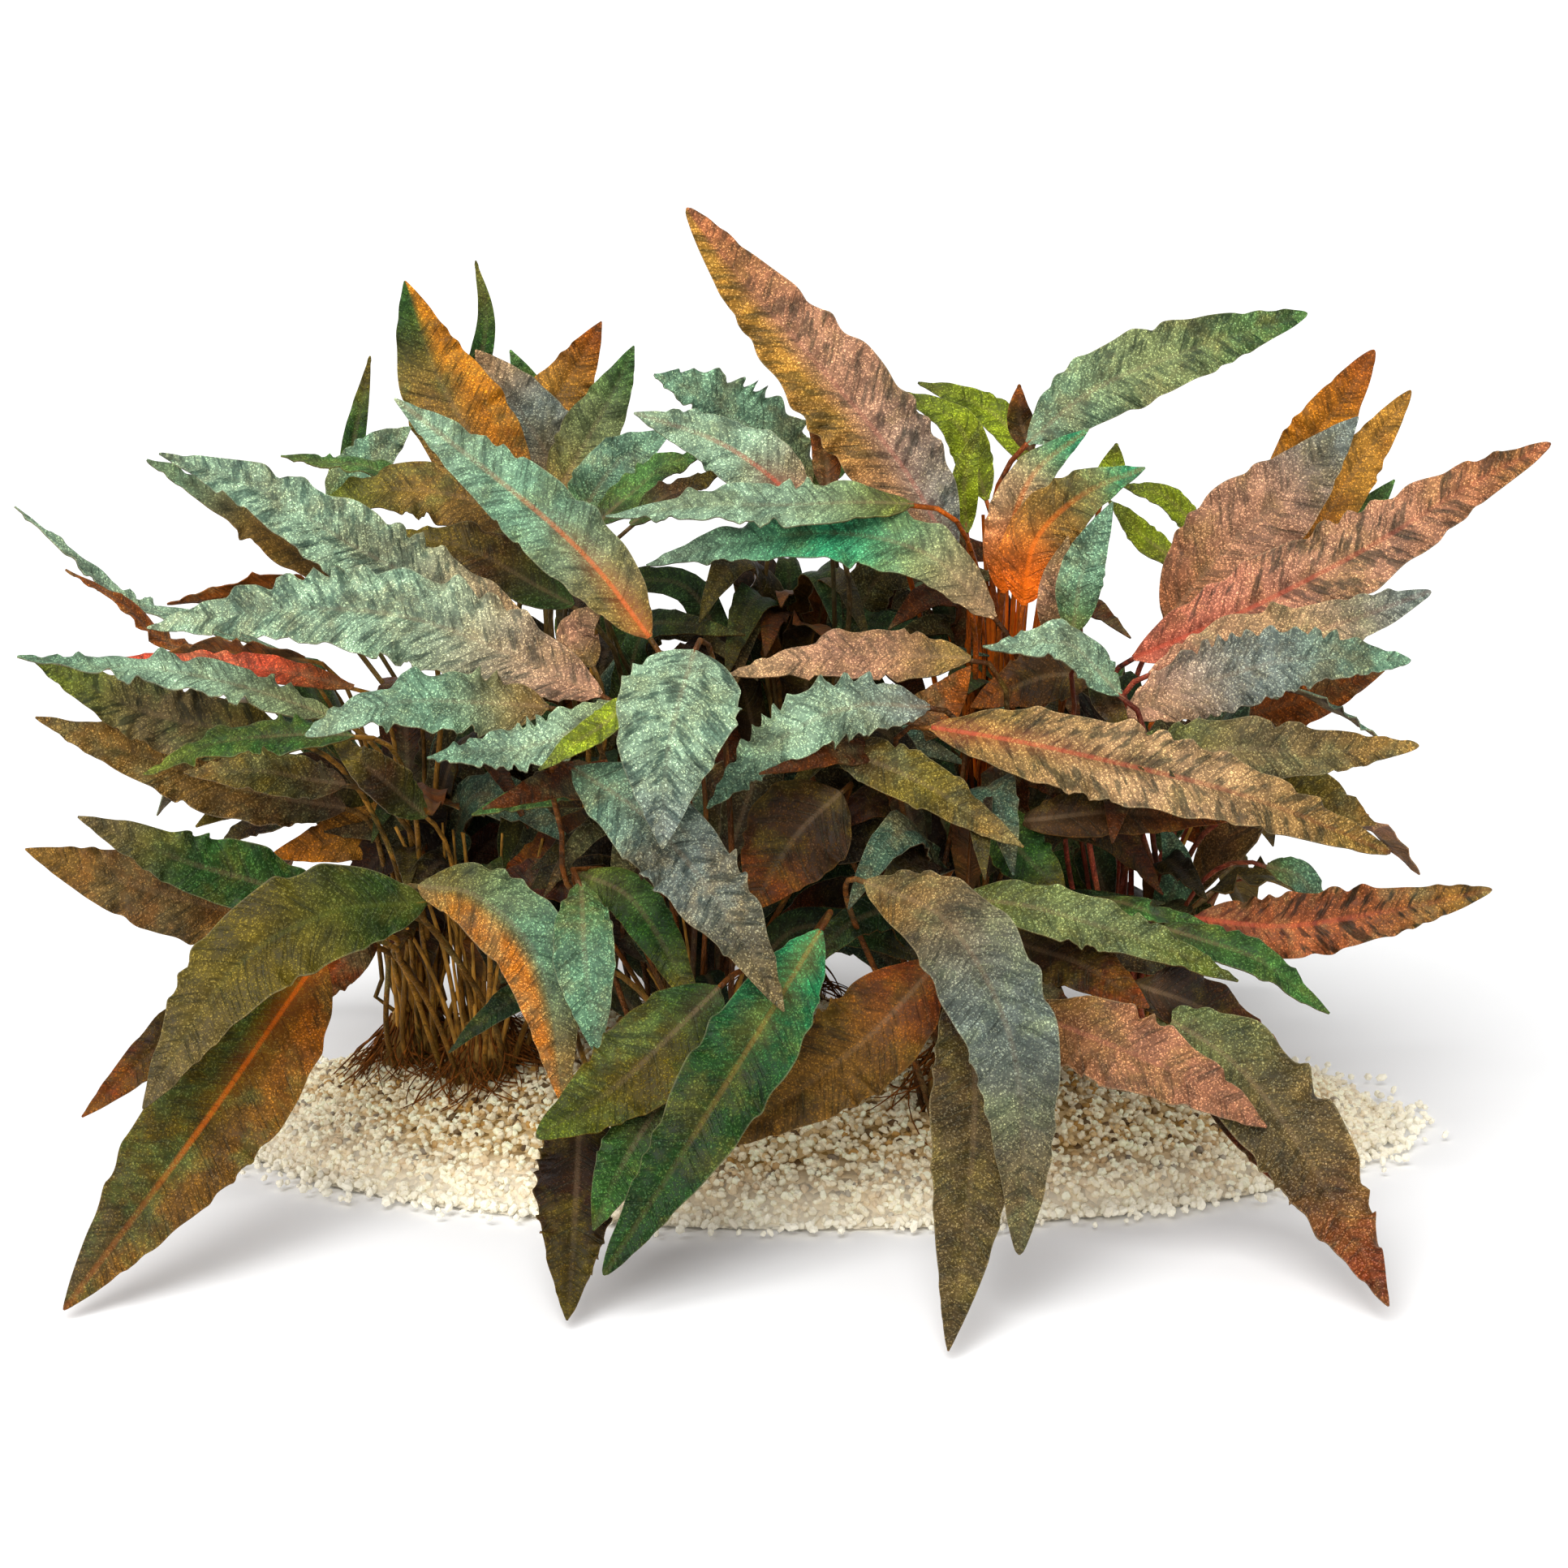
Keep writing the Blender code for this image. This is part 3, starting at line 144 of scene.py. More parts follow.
# name, crown, width, face, ruffle, tint, readings from the blade's base to its tip.
# Face is the turn of the upper side: 0 to the sky, 90 to the viewer, under 0 away.
LEAVES = [
    ("leaf_left_thin", "left", 9, 6, 1.0, "pale",
     [(-123, 32.5, 18), (-151, 42, 22), (-166, 49, 25), (-189.5, 68.5, 28)]),
    ("leaf_left_folded", "left", 13, 40, 1.2, "brown",
     [(-96, 45, -4), (-120, 58, -5), (-138, 70, -6), (-157, 80, -7)]),
    ("leaf_left_long", "left_front", 20, 52, 1.2, "teal",
     [(-62, 38, -24), (-85, 48, -22), (-108, 60, -20), (-131, 73, -18), (-154, 81.5, -16)]),
    ("leaf_left_ruffled", "middle_front", 23, 55, 2.0, "teal",
     [(-45, 22, -52), (-70, 33, -48), (-95, 41.5, -43), (-122, 43.5, -38), (-157, 38.5, -34)]),
    ("leaf_left_low_green", "left_front", 12, 28, 1.3, "green",
     [(-110, 16, -34), (-132, 24, -36), (-160, 28.5, -37), (-189, 31.5, -38)]),
    ("leaf_left_olive", "left", 17, 60, 1.4, "olive",
     [(-120, 10, -22), (-140, 14, -24), (-160, 19, -24), (-185, 30.5, -24)]),
    ("leaf_left_bronze", "left", 17, 60, 1.4, "bronze",
     [(-108, -6, -12), (-130, -2, -14), (-152, 5, -15), (-184.5, 16.5, -15)]),
    ("leaf_left_dark_green", "left_front", 12, 28, 1.0, "dark",
     [(-106, 12, -46), (-124, 12.5, -49), (-142, 9, -51), (-158, 2.5, -52)]),
    ("leaf_left_teal_low", "left_front", 16, 60, 1.0, "dark",
     [(-110, -33, -72), (-128, -25, -76), (-150, -18, -79), (-174, -8, -82)]),
    ("leaf_left_gold_low", "left", 19, 68, 1.0, "gold",
     [(-122, -34, -58), (-142, -30, -62), (-163, -24, -65), (-187, -16, -69)]),
    ("leaf_bottom_left_large", "left_front", 29, 72, 0.8, "olive",
     [(-114, -42, -78), (-130, -65, -98), (-152, -96, -121), (-177.5, -129.5, -145)]),
    ("leaf_bottom_left_green", "left_front", 23, 62, 0.9, "green",
     [(-88, -29, -86), (-112, -32, -96), (-136, -46, -106), (-158, -80, -122)]),
    ("leaf_front_left_pale", "middle_front", 16, 50, 1.6, "pale",
     [(-58, 19, -62), (-78, 20.5, -70), (-100, 19, -76), (-118, 12, -82)]),
    ("leaf_middle_left_pale", "middle_front", 13, 40, 1.0, "pale",
     [(-38, 19, -74), (-55, 12, -78), (-70, 8.5, -80), (-88, 6.5, -82)]),
    ("leaf_back_left_tall", "left_back", 25, 80, 0.8, "olive",
     [(-65, 66, 42), (-76, 84, 46), (-87, 104, 49), (-93.5, 124, 50)]),
    ("leaf_back_left_grey", "left_back", 21, 80, 0.8, "pink",
     [(-54, 72, 58), (-60, 84, 61), (-68, 96, 63), (-76, 107, 64)]),
    ("leaf_back_left_gold", "left_back", 16, 80, 0.8, "gold",
     [(-66, 80, 80), (-58, 92, 83), (-51, 103, 85), (-45, 114, 86)]),
    ("leaf_back_left_point", "left_back", 15, 80, 0.8, "olive",
     [(-57, 70, 46), (-49, 84, 49), (-42, 97, 51), (-37, 108, 52)]),
    ("leaf_left_arched_olive", "left", 17, 50, 1.2, "olive",
     [(-56, 58, 2), (-76, 70, 3), (-96, 72.5, 5), (-117, 67, 6)]),
    ("leaf_diagonal_orange_rib", "middle_front", 19, 58, 1.0, "green",
     [(-33, 36, -42), (-47, 54, -34), (-69, 74, -23), (-96, 95, -10)]),
    ("leaf_top_tall", "young", 24, 75, 1.2, "pink",
     [(42, 56, 4), (28, 80, 10), (6, 106, 14), (-10, 124, 16), (-24, 142, 18)]),
    ("leaf_top_serrated", "middle_back", 20, 55, 1.8, "teal",
     [(6, 72, 33), (-4, 84, 32), (-18, 95, 31), (-32, 101, 29)]),
    ("leaf_top_arched", "middle_back", 17, 60, 1.0, "pale",
     [(8, 66, 4), (-5, 77, 7), (-20, 86, 9), (-37, 91.5, 10)]),
    ("leaf_long_level", "young", 14, 36, 0.9, "green",
     [(32, 69, -12), (8, 69.5, -13), (-18, 68.5, -13), (-44, 66, -12)]),
    ("leaf_long_bright", "right_front", 17, 50, 1.0, "green",
     [(52, 41, -24), (36, 56, -21), (12, 62, -18), (-10, 60, -15), (-34, 54, -14)]),
    ("leaf_young_curl", "young", 13, 70, 0.8, "green",
     [(54, 47, -4), (56, 63, -6), (62, 77, -7), (75, 87.5, -8)]),
    ("leaf_young_point", "young", 16, 70, 0.9, "gold",
     [(59, 44, -12), (62, 60, -14), (73, 71, -16), (89, 78, -18)]),
    ("leaf_top_right_long", "young", 18, 74, 1.2, "teal",
     [(60, 84, 8), (76, 97, 8), (100, 107, 8), (129, 116, 8)]),
    ("leaf_back_right_gold", "right", 16, 80, 0.8, "gold",
     [(121, 66, 54), (128, 80, 57), (137, 94, 59), (145.5, 107, 60)]),
    ("leaf_back_right_brown", "right", 13, 80, 0.8, "gold",
     [(128, 56, 38), (136, 70, 41), (145, 84, 43), (154.5, 97, 44)]),
    ("leaf_right_broad_pink", "right", 25, 74, 0.8, "pink",
     [(94, 40, 14), (108, 57, 17), (126, 74, 20), (141.5, 90.5, 22)]),
    ("leaf_right_long", "right", 21, 64, 1.4, "pink",
     [(86, 31, -6), (112, 42, -8), (145, 59, -8), (168, 73, -7), (189, 84, -6)]),
    ("leaf_right_speckled", "right", 17, 64, 1.4, "bronze",
     [(90, 27, -19), (110, 32, -20), (135, 39, -21), (159.5, 47.5, -21)]),
    ("leaf_right_grey_point", "right", 17, 56, 1.3, "teal",
     [(84, 17, -33), (106, 26, -34), (130, 31, -35), (154.5, 30.5, -35)]),
    ("leaf_right_dark_under", "right", 15, 68, 1.2, "rust",
     [(98, 13, 4), (114, 17, 6), (132, 22, 9), (148, 28, 10)]),
    ("leaf_right_low_bronze", "right", 15, 60, 1.2, "bronze",
     [(80, 6, -45), (106, 8.5, -47), (132, 8, -47), (156.5, 9.5, -47)]),
    ("leaf_front_right_long", "right_front", 20, 55, 1.0, "pink",
     [(36, 14, -63), (66, 9, -67), (96, 2, -68), (122, -6, -68), (149.5, -17, -67)]),
    ("leaf_front_saw_edged", "right_front", 15, 50, 2.0, "pale",
     [(36, 19, -58), (18, 19, -63), (0, 12, -69), (-19, -6, -75)]),
    ("leaf_front_drop", "middle_front", 30, 62, 0.8, "pale",
     [(-22, 33, -70), (-26, 20, -84), (-29, 4, -92), (-30, -16, -96)]),
    ("leaf_front_diagonal", "middle_front", 20, 58, 1.4, "teal",
     [(-52, 4, -74), (-32, -10, -88), (-14, -32, -104), (0, -56, -116)]),
    ("leaf_front_lower_green", "middle_front", 20, 64, 0.9, "green",
     [(9, -36, -98), (-8, -64, -116), (-27, -94, -132), (-44.5, -121, -143)]),
    ("leaf_front_bottom_brown", "left_front", 17, 62, 1.0, "brown",
     [(-50, -76, -108), (-51, -95, -122), (-52, -114, -137), (-53.5, -132, -150)]),
    ("leaf_front_olive_low", "middle_front", 21, 56, 0.8, "olive",
     [(-16, -50, -102), (-30, -64, -110), (-45, -77, -118), (-61, -87, -125)]),
    ("leaf_front_left_blue", "left_front", 18, 52, 0.8, "bronze",
     [(-90, -25, -66), (-75, -28, -76), (-60, -45, -88), (-54, -80, -106)]),
    ("leaf_front_brown_low", "right_front", 23, 60, 0.9, "brown",
     [(38, -44, -84), (22, -61, -94), (3, -76, -104), (-17, -89.5, -112)]),
    ("leaf_front_right_drop", "right_front", 22, 62, 1.0, "bronze",
     [(20, -24, -86), (40, -34, -102), (55, -60, -120), (59, -90, -136), (58, -116, -147)]),
    ("leaf_front_bottom_long", "right_front", 19, 68, 0.7, "pink",
     [(45, -44, -92), (47, -75, -114), (45, -108, -139), (40.5, -139.5, -165)]),
    ("leaf_right_low_green", "right_front", 13, 46, 0.9, "pale",
     [(42, -28, -76), (64, -31, -82), (88, -38, -86), (112, -48.5, -89)]),
    ("leaf_right_low_ruffled", "right", 15, 68, 2.0, "rust",
     [(101, -33, -56), (124, -35, -60), (150, -31, -62), (174.5, -26, -63)]),
    ("leaf_right_bottom_pink", "right", 19, 54, 1.1, "pink",
     [(58, -56, -86), (78, -63, -93), (98, -72, -100), (119, -84.5, -108)]),
    ("leaf_bottom_right_large", "right", 22, 60, 1.6, "teal",
     [(92, -56, -80), (112, -70, -94), (131, -95, -114), (149, -128.5, -143)]),
]

# The smaller leaves, which are one solid with the crown that they grow from
SMALL_LEAVES = [
    ("left", 8, 6, 1.0, "rust", [(-125, 30, 6), (-150, 35, 9), (-162, 44, 11), (-177, 53, 14)]),
    ("left", 9, -50, 1.0, "rust", [(-108, 49, 10), (-131, 48, 14), (-152, 44.5, 16)]),
    ("left", 8, -50, 1.0, "rust", [(-118, 31, 2), (-138, 33, 6), (-155, 31.5, 8)]),
    ("left", 8, 40, 1.0, "red", [(-106, 24, -6), (-138, 30, -3), (-165, 31, -1)]),
    ("left_front", 12, 50, 1.0, "bronze", [(-108, 0, -30), (-130, 3, -34), (-148, 3, -36)]),
    ("left", 7, 40, 0.6, "dark", [(-118, -7, 0), (-131, -10, 2), (-140, -16.5, 4)]),
    ("left", 13, 70, 0.8, "gold", [(-88, -8, -4), (-108, -13, -6), (-127, -18, -8)]),
    ("left", 13, 70, 0.8, "brown", [(-122, -44, -63), (-150, -62, -74), (-173, -82, -87)]),
    ("left_front", 11, 60, 0.8, "rust", [(-101, -36, -64), (-111, -46, -72), (-119, -57, -80)]),
    ("left_front", 11, 60, 0.8, "dark", [(-88, -8, -38), (-100, 2, -42), (-112, 12, -44)]),
    ("middle_front", 7, 50, 0.5, "lime", [(-36, 22, -84), (-50, 11, -87), (-60.5, 3.5, -89)]),
    ("middle_front", 9, 36, 0.8, "green", [(-42, 0, -66), (-60, -2, -70), (-77, -7.5, -72)]),
    ("left_back", 6, 80, 0.6, "olive", [(-109, 66, 50), (-105.5, 87, 54), (-102, 105.5, 58)]),
    ("left_back", 14, 70, 1.0, "teal", [(-112, 68, 40), (-102, 80, 42), (-92, 88, 44)]),
    ("left", 9, 16, 0.8, "green", [(-90, 73, 12), (-107, 79, 14), (-124, 81, 16)]),
    ("left_back", 6, 80, 0.5, "olive", [(-80, 88, 66), (-73.5, 112, 70), (-76, 129, 72)]),
    ("left_back", 8, 80, 0.5, "green", [(-58, 88, 92), (-63, 98, 94), (-67.5, 107, 96)]),
    ("left_back", 15, 70, 0.8, "teal", [(-52, 64, 32), (-41, 79, 34), (-28, 87, 36)]),
    ("left_back", 12, 30, 0.8, "green", [(-46, 64, 18), (-33, 76, 22), (-19, 82, 24)]),
    ("middle_back", 10, 24, 0.8, "dark", [(-38, 64, 10), (-27, 72, 12), (-14, 78, 14)]),
    ("left_back", 15, 50, 1.0, "dark", [(-52, 44, -12), (-76, 57, -10), (-97, 62, -8)]),
    ("left_front", 10, 60, 0.8, "pink", [(-47, 29, -34), (-51, 37, -34), (-45, 44, -34)]),
    ("middle_back", 9, 60, 0.5, "green", [(2, 68, 36), (9, 76, 36), (18, 80, 36)]),
    ("middle_back", 7, 80, 0.5, "rust", [(11, 72, 12), (10, 82, 13), (6, 90, 14)]),
    ("young", 12, 80, 0.5, "rust", [(26, 64, 20), (22, 73, 20), (20, 81.5, 20)]),
    ("young", 8, 36, 0.6, "teal", [(36, 65, 12), (24, 71, 12), (10, 70, 12)]),
    ("young", 11, 80, 0.8, "teal", [(71, 37, -22), (74, 54, -24), (81, 69.5, -26)]),
    ("young", 9, 80, 0.6, "pink", [(68, 34, -16), (67, 48, -18), (70, 61, -18)]),
    ("young", 10, 60, 0.8, "lime", [(50, 70, 16), (43, 88, 20), (28, 97, 22)]),
    ("young", 9, 60, 0.8, "lime", [(62, 78, 26), (51, 92, 30), (33, 99, 32)]),
    ("young", 7, 80, 0.4, "lime", [(45, 62, 15), (44.5, 75, 15), (48, 88, 15)]),
    ("young", 7, 80, 0.5, "brown", [(61, 82, 18), (58, 91, 18), (58, 98.5, 18)]),
    ("young", 7, 80, 0.4, "lime", [(79, 72, 10), (81, 78, 10), (82, 84, 10)]),
    ("young", 8, 50, 0.6, "lime", [(104, 62, 54), (94, 70.5, 56), (83, 74, 58)]),
    ("young", 8, 50, 0.6, "lime", [(97, 54, 44), (88, 62, 46), (80, 70, 48)]),
    ("right", 9, 80, 0.5, "green", [(134, 56, 46), (143, 66, 48), (150.5, 75, 50)]),
    ("right", 14, 60, 1.0, "bronze", [(110, -8, -30), (128, -3, -32), (146, -10, -34)]),
    ("right", 14, 60, 0.8, "brown", [(76, 27, -24), (62, 26, -28), (46, 19, -32)]),
    ("right", 12, 36, 0.8, "pale", [(83, 22, -42), (70, 34, -43), (49, 34, -45)]),
    ("right", 7, 60, 0.4, "dark", [(76, 28, -37), (80, 20, -39), (85, 11, -41)]),
    ("right_front", 11, 70, 0.8, "rust", [(28, 12, -42), (38, 19, -44), (46, 29, -46)]),
    ("right_front", 14, 46, 1.0, "pink", [(46, 31, -34), (18, 32, -36), (-14, 27, -38)]),
    ("left_front", 13, 62, 0.8, "green", [(-30, -78, -114), (-40, -94, -126), (-47, -110, -135)]),
    ("middle_front", 14, 64, 0.8, "teal", [(-50, -24, -82), (-49, -44, -92), (-46, -67, -101)]),
    ("middle_front", 11, 60, 0.8, "olive", [(-50, -22, -62), (-36, -30, -75), (-20, -58, -93)]),
    ("middle_front", 24, 60, 0.8, "brown", [(14, -2, -60), (2, -14, -66), (-8, -31, -73)]),
    ("right_front", 13, 54, 1.0, "bronze", [(10, 11, -54), (34, 0, -64), (59, -15.5, -75)]),
    ("right_front", 14, 56, 0.8, "olive", [(50, -6, -48), (59, -17, -54), (70, -29, -61)]),
    ("right_front", 12, 56, 0.8, "brown", [(58, -9, -50), (84, -7, -53), (110, -9, -56)]),
    ("right", 10, 40, 0.8, "green", [(92, -35, -72), (114, -42, -76), (134.5, -56.5, -81)]),
    ("right", 6, 40, 0.5, "green", [(76, -28, -66), (90, -31, -69), (105, -35, -71)]),
    ("right", 8, 50, 0.5, "teal", [(119, -20, -54), (127, -23, -56), (134, -34, -58)]),
    ("right", 9, 40, 0.8, "rust", [(104, -78, -90), (122, -93, -106), (140, -116, -128)]),
    ("right", 15, 60, 1.0, "brown", [(86, -49, -55), (104, -56, -61), (124, -68, -69)]),
    ("right_front", 15, 60, 0.8, "brown", [(54, -38, -64), (72, -44, -70), (90, -55, -76)]),
    ("right", 9, 70, 0.5, "teal", [(92, -36, -24), (97, -22, -24), (93, -9, -24)]),
]

# The inside and the far side, which the photograph hides: crown, bearing in degrees from
# +X, reach, height of the bend, drop from the bend to the tip, width, face, tint
HIDDEN_LEAVES = [
    ("left", 166, 66, 116, 22, 20, 0, "olive"),
    ("left", 140, 88, 104, 40, 23, 0, "teal"),
    ("left_back", 156, 114, 64, 56, 21, 0, "bronze"),
    ("left_back", 128, 100, 96, 48, 22, 0, "green"),
    ("left_back", 113, 112, 64, 58, 25, 0, "pink"),
    ("left_back", 86, 88, 118, 26, 22, 0, "olive"),
    ("middle_back", 122, 100, 92, 56, 23, 0, "teal"),
    ("middle_back", 104, 112, 58, 54, 25, 0, "brown"),
    ("middle_back", 84, 92, 112, 30, 23, 0, "pink"),
    ("middle_back", 60, 104, 72, 60, 22, 0, "green"),
    ("young", 112, 92, 92, 52, 21, 0, "teal"),
    ("young", 88, 106, 62, 58, 24, 0, "bronze"),
    ("young", 66, 98, 100, 44, 22, 0, "olive"),
    ("young", 46, 104, 70, 60, 22, 0, "green"),
    ("right", 64, 98, 92, 42, 21, 0, "green"),
    ("right", 38, 94, 78, 28, 22, 0, "pink"),
    ("right", 22, 62, 110, 16, 20, 0, "teal"),
    ("right", 4, 54, 66, 18, 19, 0, "bronze"),
    ("left", 205, 50, 90, 10, 16, 55, "dark"),
    ("left", 60, 44, 96, 8, 17, 60, "dark"),
    ("left_back", 200, 48, 88, 12, 18, 60, "olive"),
    ("left_back", 15, 52, 100, 10, 18, 60, "dark"),
    ("left_front", 35, 44, 84, 10, 17, 60, "dark"),
    ("middle_front", 60, 40, 92, 12, 18, 60, "dark"),
    ("middle_front", 156, 46, 80, 12, 17, 60, "brown"),
    ("middle_back", 185, 50, 84, 12, 19, 60, "dark"),
    ("middle_back", 350, 52, 88, 10, 19, 60, "brown"),
    ("right_front", 80, 44, 84, 12, 18, 60, "dark"),
    ("right_front", 160, 50, 72, 16, 17, 60, "brown"),
    ("right", 120, 34, 90, 8, 18, 60, "dark"),
    ("right", 178, 40, 76, 12, 17, 60, "olive"),
    ("young", 200, 48, 88, 10, 18, 60, "dark"),
    ("young", 335, 50, 80, 14, 18, 60, "brown"),
]

print(len(LEAVES) + len(SMALL_LEAVES) + len(HIDDEN_LEAVES), "leaves")

# %% [markdown]
# A leaf is a line in space, a width along it and a direction across it.  The line of
# the blade is drawn smoothly through its readings, and the stalk is one bow from the
# crown to the blade's base.  The blade's outline is a sine with its belly moved
# towards the base, which is how a strap-shaped leaf with a long point looks.

# %% Lines and outlines
STALK_STEPS = 28
BLADE_STEPS = 34
STALK_START_PULL = 1.15
STALK_END_PULL = 0.75
WIDEST_POWER = 0.72
ROUNDNESS = 0.93


def even(line, steps):
    """The same line read at equal distances."""
    run = np.concatenate([[0], np.cumsum(np.linalg.norm(np.diff(line, axis=0), axis=1))])
    want = np.linspace(0, run[-1], steps)
    return np.stack([np.interp(want, run, line[:, i]) for i in range(3)], axis=1)


def catmull(a, b, c, d, t):
    """The Catmull-Rom curve between b and c, with a before them and d after."""
    return 0.5 * (2 * b + (c - a) * t + (2 * a - 5 * b + 4 * c - d) * t ** 2
                  + (3 * b - a - 3 * c + d) * t ** 3)


def smooth_line(points, steps):
    """A Catmull-Rom line through the points, evenly read."""
    points = np.asarray(points, dtype=float)
    ends = np.vstack([2 * points[0] - points[1], points, 2 * points[-1] - points[-2]])
    knots = np.linspace(0, len(points) - 1, 200)
    spans = np.minimum(knots.astype(int), len(points) - 2)
    t = (knots - spans)[:, None]
    return even(catmull(*(ends[spans + i] for i in range(4)), t), steps)


def stalk_line(root, rise, base, heading, steps):
    """The stalk's curve, up out of the crown and then along the blade's own heading."""
    reach = np.linalg.norm(base - root)
    t = np.linspace(0, 1, 80)[:, None]
    out = rise * reach * STALK_START_PULL
    into = heading * reach * STALK_END_PULL
    line = ((2 * t ** 3 - 3 * t ** 2 + 1) * root + (t ** 3 - 2 * t ** 2 + t) * out
            + (-2 * t ** 3 + 3 * t ** 2) * base + (t ** 3 - t ** 2) * into)
    return even(line, steps)


def blade_profile(t):
    """Half the blade's width, as a share of its widest, from its base (0) to its tip (1)."""
    return np.sin(math.pi * np.clip(t, 0, 1) ** WIDEST_POWER) ** ROUNDNESS


def hidden_points(crown, bearing, reach, rise, drop):
    """Three points of a hidden blade, from its crown, bearing and bend."""
    x, y = CROWNS[crown]
    way = np.array([math.cos(math.radians(bearing)), math.sin(math.radians(bearing)), 0.0])
    profile = [(0.20, 0.72 * rise), (0.42, 0.96 * rise), (0.68, rise - 0.12 * drop),
               (0.92, rise - 0.52 * drop), (1.10, rise - drop)]
    return [np.array([x, y, 0.0]) + way * reach * out + np.array([0.0, 0.0, height])
            for out, height in profile]


print("a blade is half as wide as its widest at", round(float(blade_profile(0.85)), 2))

# %% [markdown]
# A blade also twists as it goes.  Its direction across is taken from the way its upper
# side faces, and where the leaf points along that way, the direction is carried over
# from the step before it.  The stalks stand side by side around their crown.

# %% A leaf and its foot
CROWN_RADIUS = 8.0
CROWN_TOP_RADIUS = 5.0
CROWN_RISE = 13.0
GAP = 0.35
STALK_HALF_WIDTH = 1.15
STALK_LEAN = 0.32
FOOT_ROOM = 1.7
FOOT_HEIGHT = 1.6
SMALL_FOOT_INSET = 1.6
SMALL_FOOT_DEPTH = 2.5
SLOT_PITCH = math.radians(21)


class Leaf:
    """One leaf: its line from the crown to the tip, its width and how it is turned."""

    def __init__(self, name, crown, width, face, ruffle, tint, blade):
        self.name = name
        self.crown = crown
        self.half_width = width / 2
        self.ruffle = ruffle
        self.tint = tint
        self.hint = np.array([0.0, -math.sin(math.radians(face)), math.cos(math.radians(face))])
        self.blade = smooth_line(blade, BLADE_STEPS)
        self.bearing = math.atan2(self.blade[3, 1] - CROWNS[crown][1],
                                  self.blade[3, 0] - CROWNS[crown][0])

    def blade_length(self):
        """The blade's length along its line."""
        return np.linalg.norm(np.diff(self.blade, axis=0), axis=1).sum()

    def root_at(self, bearing):
        """Puts the stalk's foot on its crown and draws the stalk."""
        x, y = CROWNS[self.crown]
        way = np.array([math.cos(bearing), math.sin(bearing), 0.0])
        if self.name:
            foot = np.array([x, y, 0.0]) + way * (CROWN_RADIUS + GAP + FOOT_ROOM)
            foot[2] = mound_height(foot[0], foot[1]) + FOOT_HEIGHT
        else:
            foot = np.array([x, y, 0.0]) + way * (CROWN_TOP_RADIUS - SMALL_FOOT_INSET)
            foot[2] = mound_height(x, y) + CROWN_RISE - SMALL_FOOT_DEPTH
        rise = unit(way * STALK_LEAN + np.array([0, 0, 1.0]))
        heading = unit(self.blade[2] - self.blade[0])
        stalk = stalk_line(foot, rise, self.blade[0], heading, STALK_STEPS)
        self.line = np.vstack([stalk[:-1], self.blade])

    def along_blade(self):
        """0 at the blade's base and 1 at its tip, and under 0 on the stalk."""
        return (np.arange(len(self.line)) - (STALK_STEPS - 1)) / (BLADE_STEPS - 1)

    def half_widths(self):
        """Half the leaf's width at each step of its line."""
        t = self.along_blade()
        wide = self.half_width * blade_profile(t)
        return np.where(t > 0, np.maximum(wide, STALK_HALF_WIDTH * (1 - t)), STALK_HALF_WIDTH)

    def frames(self):
        """The directions across the leaf and out of its upper side at each step."""
        ahead = unit(np.gradient(self.line, axis=0))
        wanted = np.cross(ahead, self.hint)
        sureness = np.linalg.norm(wanted, axis=1)
        sureness[:STALK_STEPS] *= 0.2
        surest = int(np.argmax(sureness))
        across = np.zeros_like(self.line)
        across[surest] = wanted[surest] / np.linalg.norm(wanted[surest])
        for way in (1, -1):
            last = across[surest]
            for k in range(surest + way, len(self.line) if way > 0 else -1, way):
                carried = last - ahead[k] * np.dot(ahead[k], last)
                trust = max(0.0, sureness[k] - 0.4) * (np.dot(wanted[k], carried) > 0)
                last = unit(carried * (1 - trust) + wanted[k] * trust)
                across[k] = last
        return across, np.cross(across, ahead)


def spread_feet(leaves):
    """Gives each stalk a foot around its crown, facing its blade, with room between feet."""
    for crown in CROWNS:
        group = [leaf for leaf in leaves if leaf.crown == crown]
        group.sort(key=lambda leaf: leaf.bearing)
        bearings = [leaf.bearing for leaf in group]
        pitch = min(SLOT_PITCH, 2 * math.pi / max(1, len(group)))
        for _ in range(80):
            for i in range(len(group)):
                j = (i + 1) % len(group)
                turn = 2 * math.pi if j == 0 else 0.0
                short = pitch - (bearings[j] + turn - bearings[i])
                if short > 0:
                    bearings[i] -= short / 2
                    bearings[j] += short / 2
        for leaf, bearing in zip(group, bearings):
            leaf.root_at(bearing)


print("feet keep", round(math.degrees(SLOT_PITCH)), "degrees apart")

# %% [markdown]
# A leaf that hangs low must not sink into the sand.  The heap could be asked point by
# point as a leaf moves.  It is quicker to ask once, for each line of sight, how far back
# a point may go.

# %% Where the sand stops a leaf
SIGHT_FAR = 300.0
SIGHT_NEAR = -320.0
SIGHT_STEP = 2.0
FREE_DEPTH = 1000.0


def sand_depth(points):
    """How deep each line of sight runs before it meets the sand or the floor."""
    start = eye()
    rays = points - start
    rays = rays / rays[:, 1:2]
    reached = np.full(len(points), FREE_DEPTH)
    for depth in np.arange(SIGHT_FAR, SIGHT_NEAR, -SIGHT_STEP):
        at = start + rays * (depth - start[1])
        buried = at[:, 2] < mound_height(at[:, 0], at[:, 1]) + 0.5
        reached = np.where(buried, depth, reached)
    return reached


print("the sand's top is met at a depth of", float(sand_depth(np.array([[6.0, 0.0, 20.0]]))[0]), "mm")

# %% [markdown]
# Where two leaves cross in the view, one lies in front.  Their lines are slid apart
# along the line of sight, as real leaves push one another aside, and the view stays
# the same.  A cloth simulation could part them too, but it would move them in the view.

